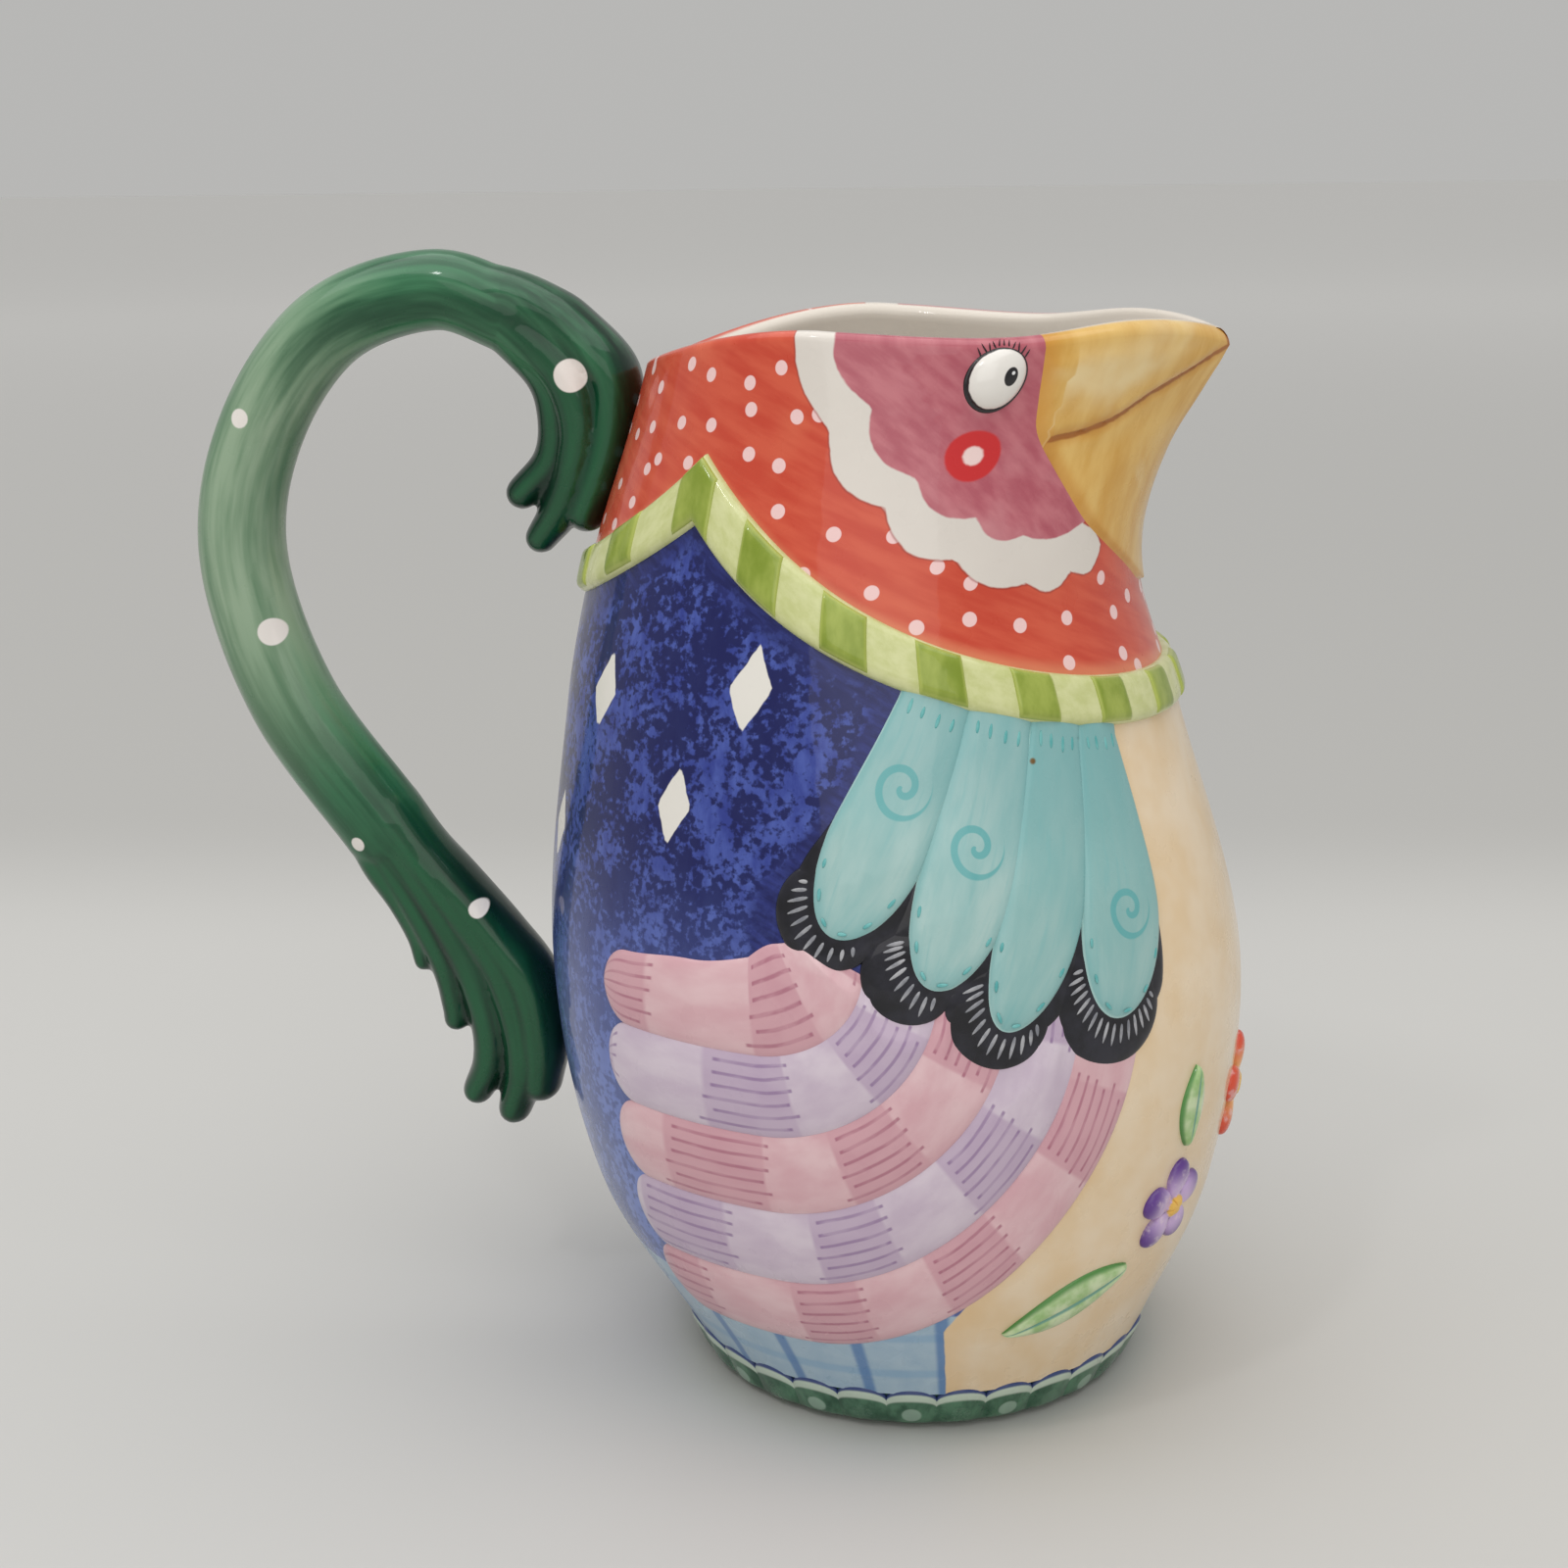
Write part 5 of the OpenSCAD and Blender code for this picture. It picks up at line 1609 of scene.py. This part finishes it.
def paintHandle(b):
    grain = b.field("grain", "Vector")
    broad = b.noise(b.stretch(grain, (0.22, 1.3, 1.3)), 1.1, 3, 0.5)
    fine = b.noise(b.stretch(grain, (0.3, 4.2, 4.2)), 1.2, 3, 0.5)
    streak = b.math("MULTIPLY_ADD", fine, 0.35, b.times(broad, 0.65))
    share = b.math("ADD", b.field("along"), b.jitter(streak, 0.16))
    pale = b.times(b.ramp(share, 0.26, 0.44), b.ramp(share, 0.74, 0.58))
    deep = b.over((0, 43, 26), (8, 72, 44), streak, 0.36, 0.64)
    middle = b.over((18, 74, 46), (62, 124, 86), streak, 0.36, 0.64)
    light = b.over((98, 134, 102), (150, 174, 146), streak, 0.36, 0.64)
    bow = b.times(b.ramp(share, 0.11, 0.2), b.ramp(share, 0.84, 0.7))
    leaf = b.math("SUBTRACT", 1.0, bow)
    ridge = b.field("ridge")
    # painted light along the ridges of the leaf fingers, painted shade in the grooves between them
    deep = b.blend(b.times(leaf, b.ramp(ridge, 0.5, 0.1, 0.0, 0.5)), deep, (36, 106, 66))
    deep = b.blend(b.times(leaf, b.ramp(ridge, 0.5, 0.82, 0.0, 0.75)), deep, (0, 30, 20))
    colour = b.blend(bow, deep, middle)
    colour = b.blend(pale, colour, light)
    return b.over(colour, (236, 230, 224), b.field("dots"), 0.2, -0.2)


handle = buildHandle()
handleNodes = ("handle_bow", "upper_handle_leaf", "lower_handle_leaf")
dress(handle, glaze("handleGlaze", paintHandle), "handle_glaze", *handleNodes)
print("handle:", len(handle.data.polygons), "faces")


# Foot: a turned ring with a frill of round scallops

frillShape = {
    "count": 30,
    "r": 46.4,
    "topR": 51.6,
    "lowZ": 1.2,
    "shoulderZ": 8.2,
    "topZ": 11.6,
    "thickness": 1.7,
    "edgeShare": 0.55,  # of the thickness, at the sides of a scallop
    "stand": 0.15,
    "sink": 0.6,
    "overlap": 1.02,
}


def buildScallop():
    s = frillShape
    half = math.pi / s["count"] * s["overlap"]
    u, v = np.meshgrid(crowded(17), (crowded(17) + 1) / 2)
    top = mix(s["shoulderZ"], s["topZ"], np.sqrt(np.clip(1 - u * u, 0, 1)))
    z = mix(s["lowZ"], top, v)
    r = mix(s["r"], s["topR"], z / s["topZ"])
    swell = s["thickness"] * mix(1, s["edgeShare"], u * u) * rounded(2 * v - 1, 6) + s["stand"]

    def ring(out):
        return np.stack([(r + out) * np.cos(u * half) - s["r"], (r + out) * np.sin(u * half), z], -1)
    return makePiece("scallop", *slab(ring(swell), ring(-s["sink"]), (u, v)))


def frillTree():
    b, given = growTree("footFrill", Count=30, Radius=0.046)
    sizes = {"Vertices": given["Count"], "Radius": given["Radius"]}
    circle = b.add("GeometryNodeMeshCircle", sizes).outputs[0]
    index = b.add("GeometryNodeInputIndex").outputs[0]
    angle = b.times(b.math("DIVIDE", index, given["Count"]), 2 * math.pi)
    spin = b.add("ShaderNodeCombineXYZ", {2: angle}).outputs[0]
    laid = {"Points": circle, "Instance": given["Geometry"], "Rotation": spin}
    ring = b.add("GeometryNodeInstanceOnPoints", laid).outputs[0]
    numbered = {"Geometry": ring, "Name": "scallop", "Value": index}
    ring = b.add("GeometryNodeStoreNamedAttribute", numbered, data_type="FLOAT", domain="INSTANCE").outputs[0]
    return glazeInstances(b, ring, given)


def paintFrill(b):
    u, v = b.split(b.paintMap())[:2]
    wash = b.noise(b.stretch(b.place(), (260, 260, 90)), 1.0, 4, 0.6)
    green = b.over((40, 82, 60), (84, 128, 100), wash, 0.3, 0.7)
    # a pale dot on every other scallop
    odd = b.math("MODULO", b.field("scallop"), 2.0)
    r = b.reach(u, b.times(b.math("SUBTRACT", v, 0.3), 2.1))
    green = b.blend(b.times(odd, b.ramp(r, 0.44, 0.34, 0.0, 0.6)), green, (172, 198, 180))
    green = b.over(green, (206, 220, 204), v, 0.66, 0.74, 0.0, 0.85)
    return b.over(green, (58, 74, 122), v, 0.86, 0.92)


frillGlaze = glaze("frillGlaze", paintFrill)
frillSize = {"Count": frillShape["count"], "Radius": frillShape["r"] * mm, "Glaze": frillGlaze}
frill = grown(buildScallop(), frillTree(), "footFrill", frillSize)
dress(frill, frillGlaze, "frill_glaze", "foot_frill")
footRing = frame["nodes"]["foot_ring"]
footRing.data.materials.clear()
footRing.data.materials.append(glaze("footGlaze", plainPaint((46, 88, 64), (84, 126, 98), 160)))
print("foot and frill turned")


# Floor, light and camera

studio = {
    "floor": 40.0,
    "floorEdge": 0.34,  # where the pale ground ends, straight ahead of the camera
    # painted shade: grey beyond the edge stands in for the darker backdrop
    "floorShadeStep": (-0.07, 0.12),  # it turns grey over this stretch from the edge
    # painted light: paler far off, to make up for the lamps falling off
    "floorLightFill": (-0.1, 4.06),  # and pales again over this one, on all sides
    "cameraAt": (0.0634, -0.5161, 0.263),
    "azimuth": 7.0,
    "pitch": 14.4,
    "focus": 2500,  # focal length in pixels of the 1600 pixel frame
    "aside": 134.5,  # how far the object stands from the middle of the frame, in pixels
    "frame": 1600,
    # softboxes: place, aim, size, power and colour
    "lamps": {
        "overhead": ((-0.1, -0.2, 2.0), (0, 0, 0.1), (3.0, 2.6), 34, (1, 1, 1)),
        "front": ((0.5, -2.4, 1.2), (0, 0, 0.12), (2.4, 1.6), 12, (1, 0.98, 0.95)),
        "sparkle": ((-0.35, -0.75, 1.3), (0, 0, 0.2), (0.1, 0.16), 1.2, (1, 1, 1)),
    },
    "sky": (0.955, 0.95, 0.93, 1),
    "skyPower": 0.5,
}


def paintFloor(b):
    place = b.place()
    x, y = b.split(place)[:2]
    a, edge = math.radians(studio["azimuth"]), studio["floorEdge"]
    ahead = b.math("ADD", b.times(x, -math.sin(a)), b.times(y, math.cos(a)))
    near = b.blend(b.noise(place, 3, 2), (198, 197, 194), (202, 201, 198))
    # painted shade in the grey band, painted light in the paling far off
    step = b.ramp(ahead, *(edge + k for k in studio["floorShadeStep"]))
    fade = b.ramp(b.reach(x, y), *(edge + k for k in studio["floorLightFill"]))
    return b.blend(fade, b.blend(step, near, (182, 181, 178)), (253, 252, 250))


def buildFloor():
    half = studio["floor"] / 2
    corners = [(-half, -half, 0), (half, -half, 0), (half, half, 0), (-half, half, 0)]
    mesh = bpy.data.meshes.new("floor")
    mesh.from_pydata(corners, [], [(0, 1, 2, 3)])
    floor = linked("floor", mesh)
    material = bpy.data.materials.new("floorPaper")
    material.use_nodes = True
    brush = Brush(material.node_tree)
    shader = material.node_tree.nodes["Principled BSDF"]
    brush.put(shader.inputs["Base Color"], paintFloor(brush))
    shader.inputs["Roughness"].default_value = 0.6
    mesh.materials.append(material)


def softbox(name, at, aim, size, power, colour):
    lamp = bpy.data.lights.new(name, "AREA")
    lamp.shape, lamp.size, lamp.size_y = "RECTANGLE", size[0], size[1]
    lamp.energy, lamp.color = power, colour
    holder = linked(name, lamp)
    holder.location = at
    holder.rotation_euler = (Vector(aim) - Vector(at)).to_track_quat("-Z", "Y").to_euler()


def buildCamera():
    s = studio
    a, p = math.radians(s["azimuth"]), math.radians(s["pitch"])
    ahead = Vector((-math.sin(a), math.cos(a), 0))
    right = Vector((math.cos(a), math.sin(a), 0))
    look = ahead * math.cos(p) - Vector((0, 0, 1)) * math.sin(p)
    up = ahead * math.sin(p) + Vector((0, 0, 1)) * math.cos(p)
    yaw = math.atan2(s["aside"], s["focus"])
    look, right = look * math.cos(yaw) - right * math.sin(yaw), right * math.cos(yaw) + look * math.sin(yaw)
    camera = bpy.data.cameras.new("camera")
    camera.sensor_width = 36
    camera.lens = s["focus"] / s["frame"] * camera.sensor_width
    camera.clip_start = 0.01
    holder = linked("camera", camera)
    turn = Matrix((right, up, -look)).transposed()
    holder.matrix_world = Matrix.Translation(Vector(s["cameraAt"])) @ turn.to_4x4()
    bpy.context.scene.camera = holder


def buildSky():
    world = bpy.data.worlds.new("studio")
    world.use_nodes = True
    light = world.node_tree.nodes["Background"].inputs
    light["Color"].default_value = studio["sky"]
    light["Strength"].default_value = studio["skyPower"]
    bpy.context.scene.world = world


buildFloor()
for name, lamp in studio["lamps"].items():
    softbox(name, *lamp)
buildSky()
buildCamera()
bpy.context.scene.view_settings.view_transform = "Standard"
print("studio set")
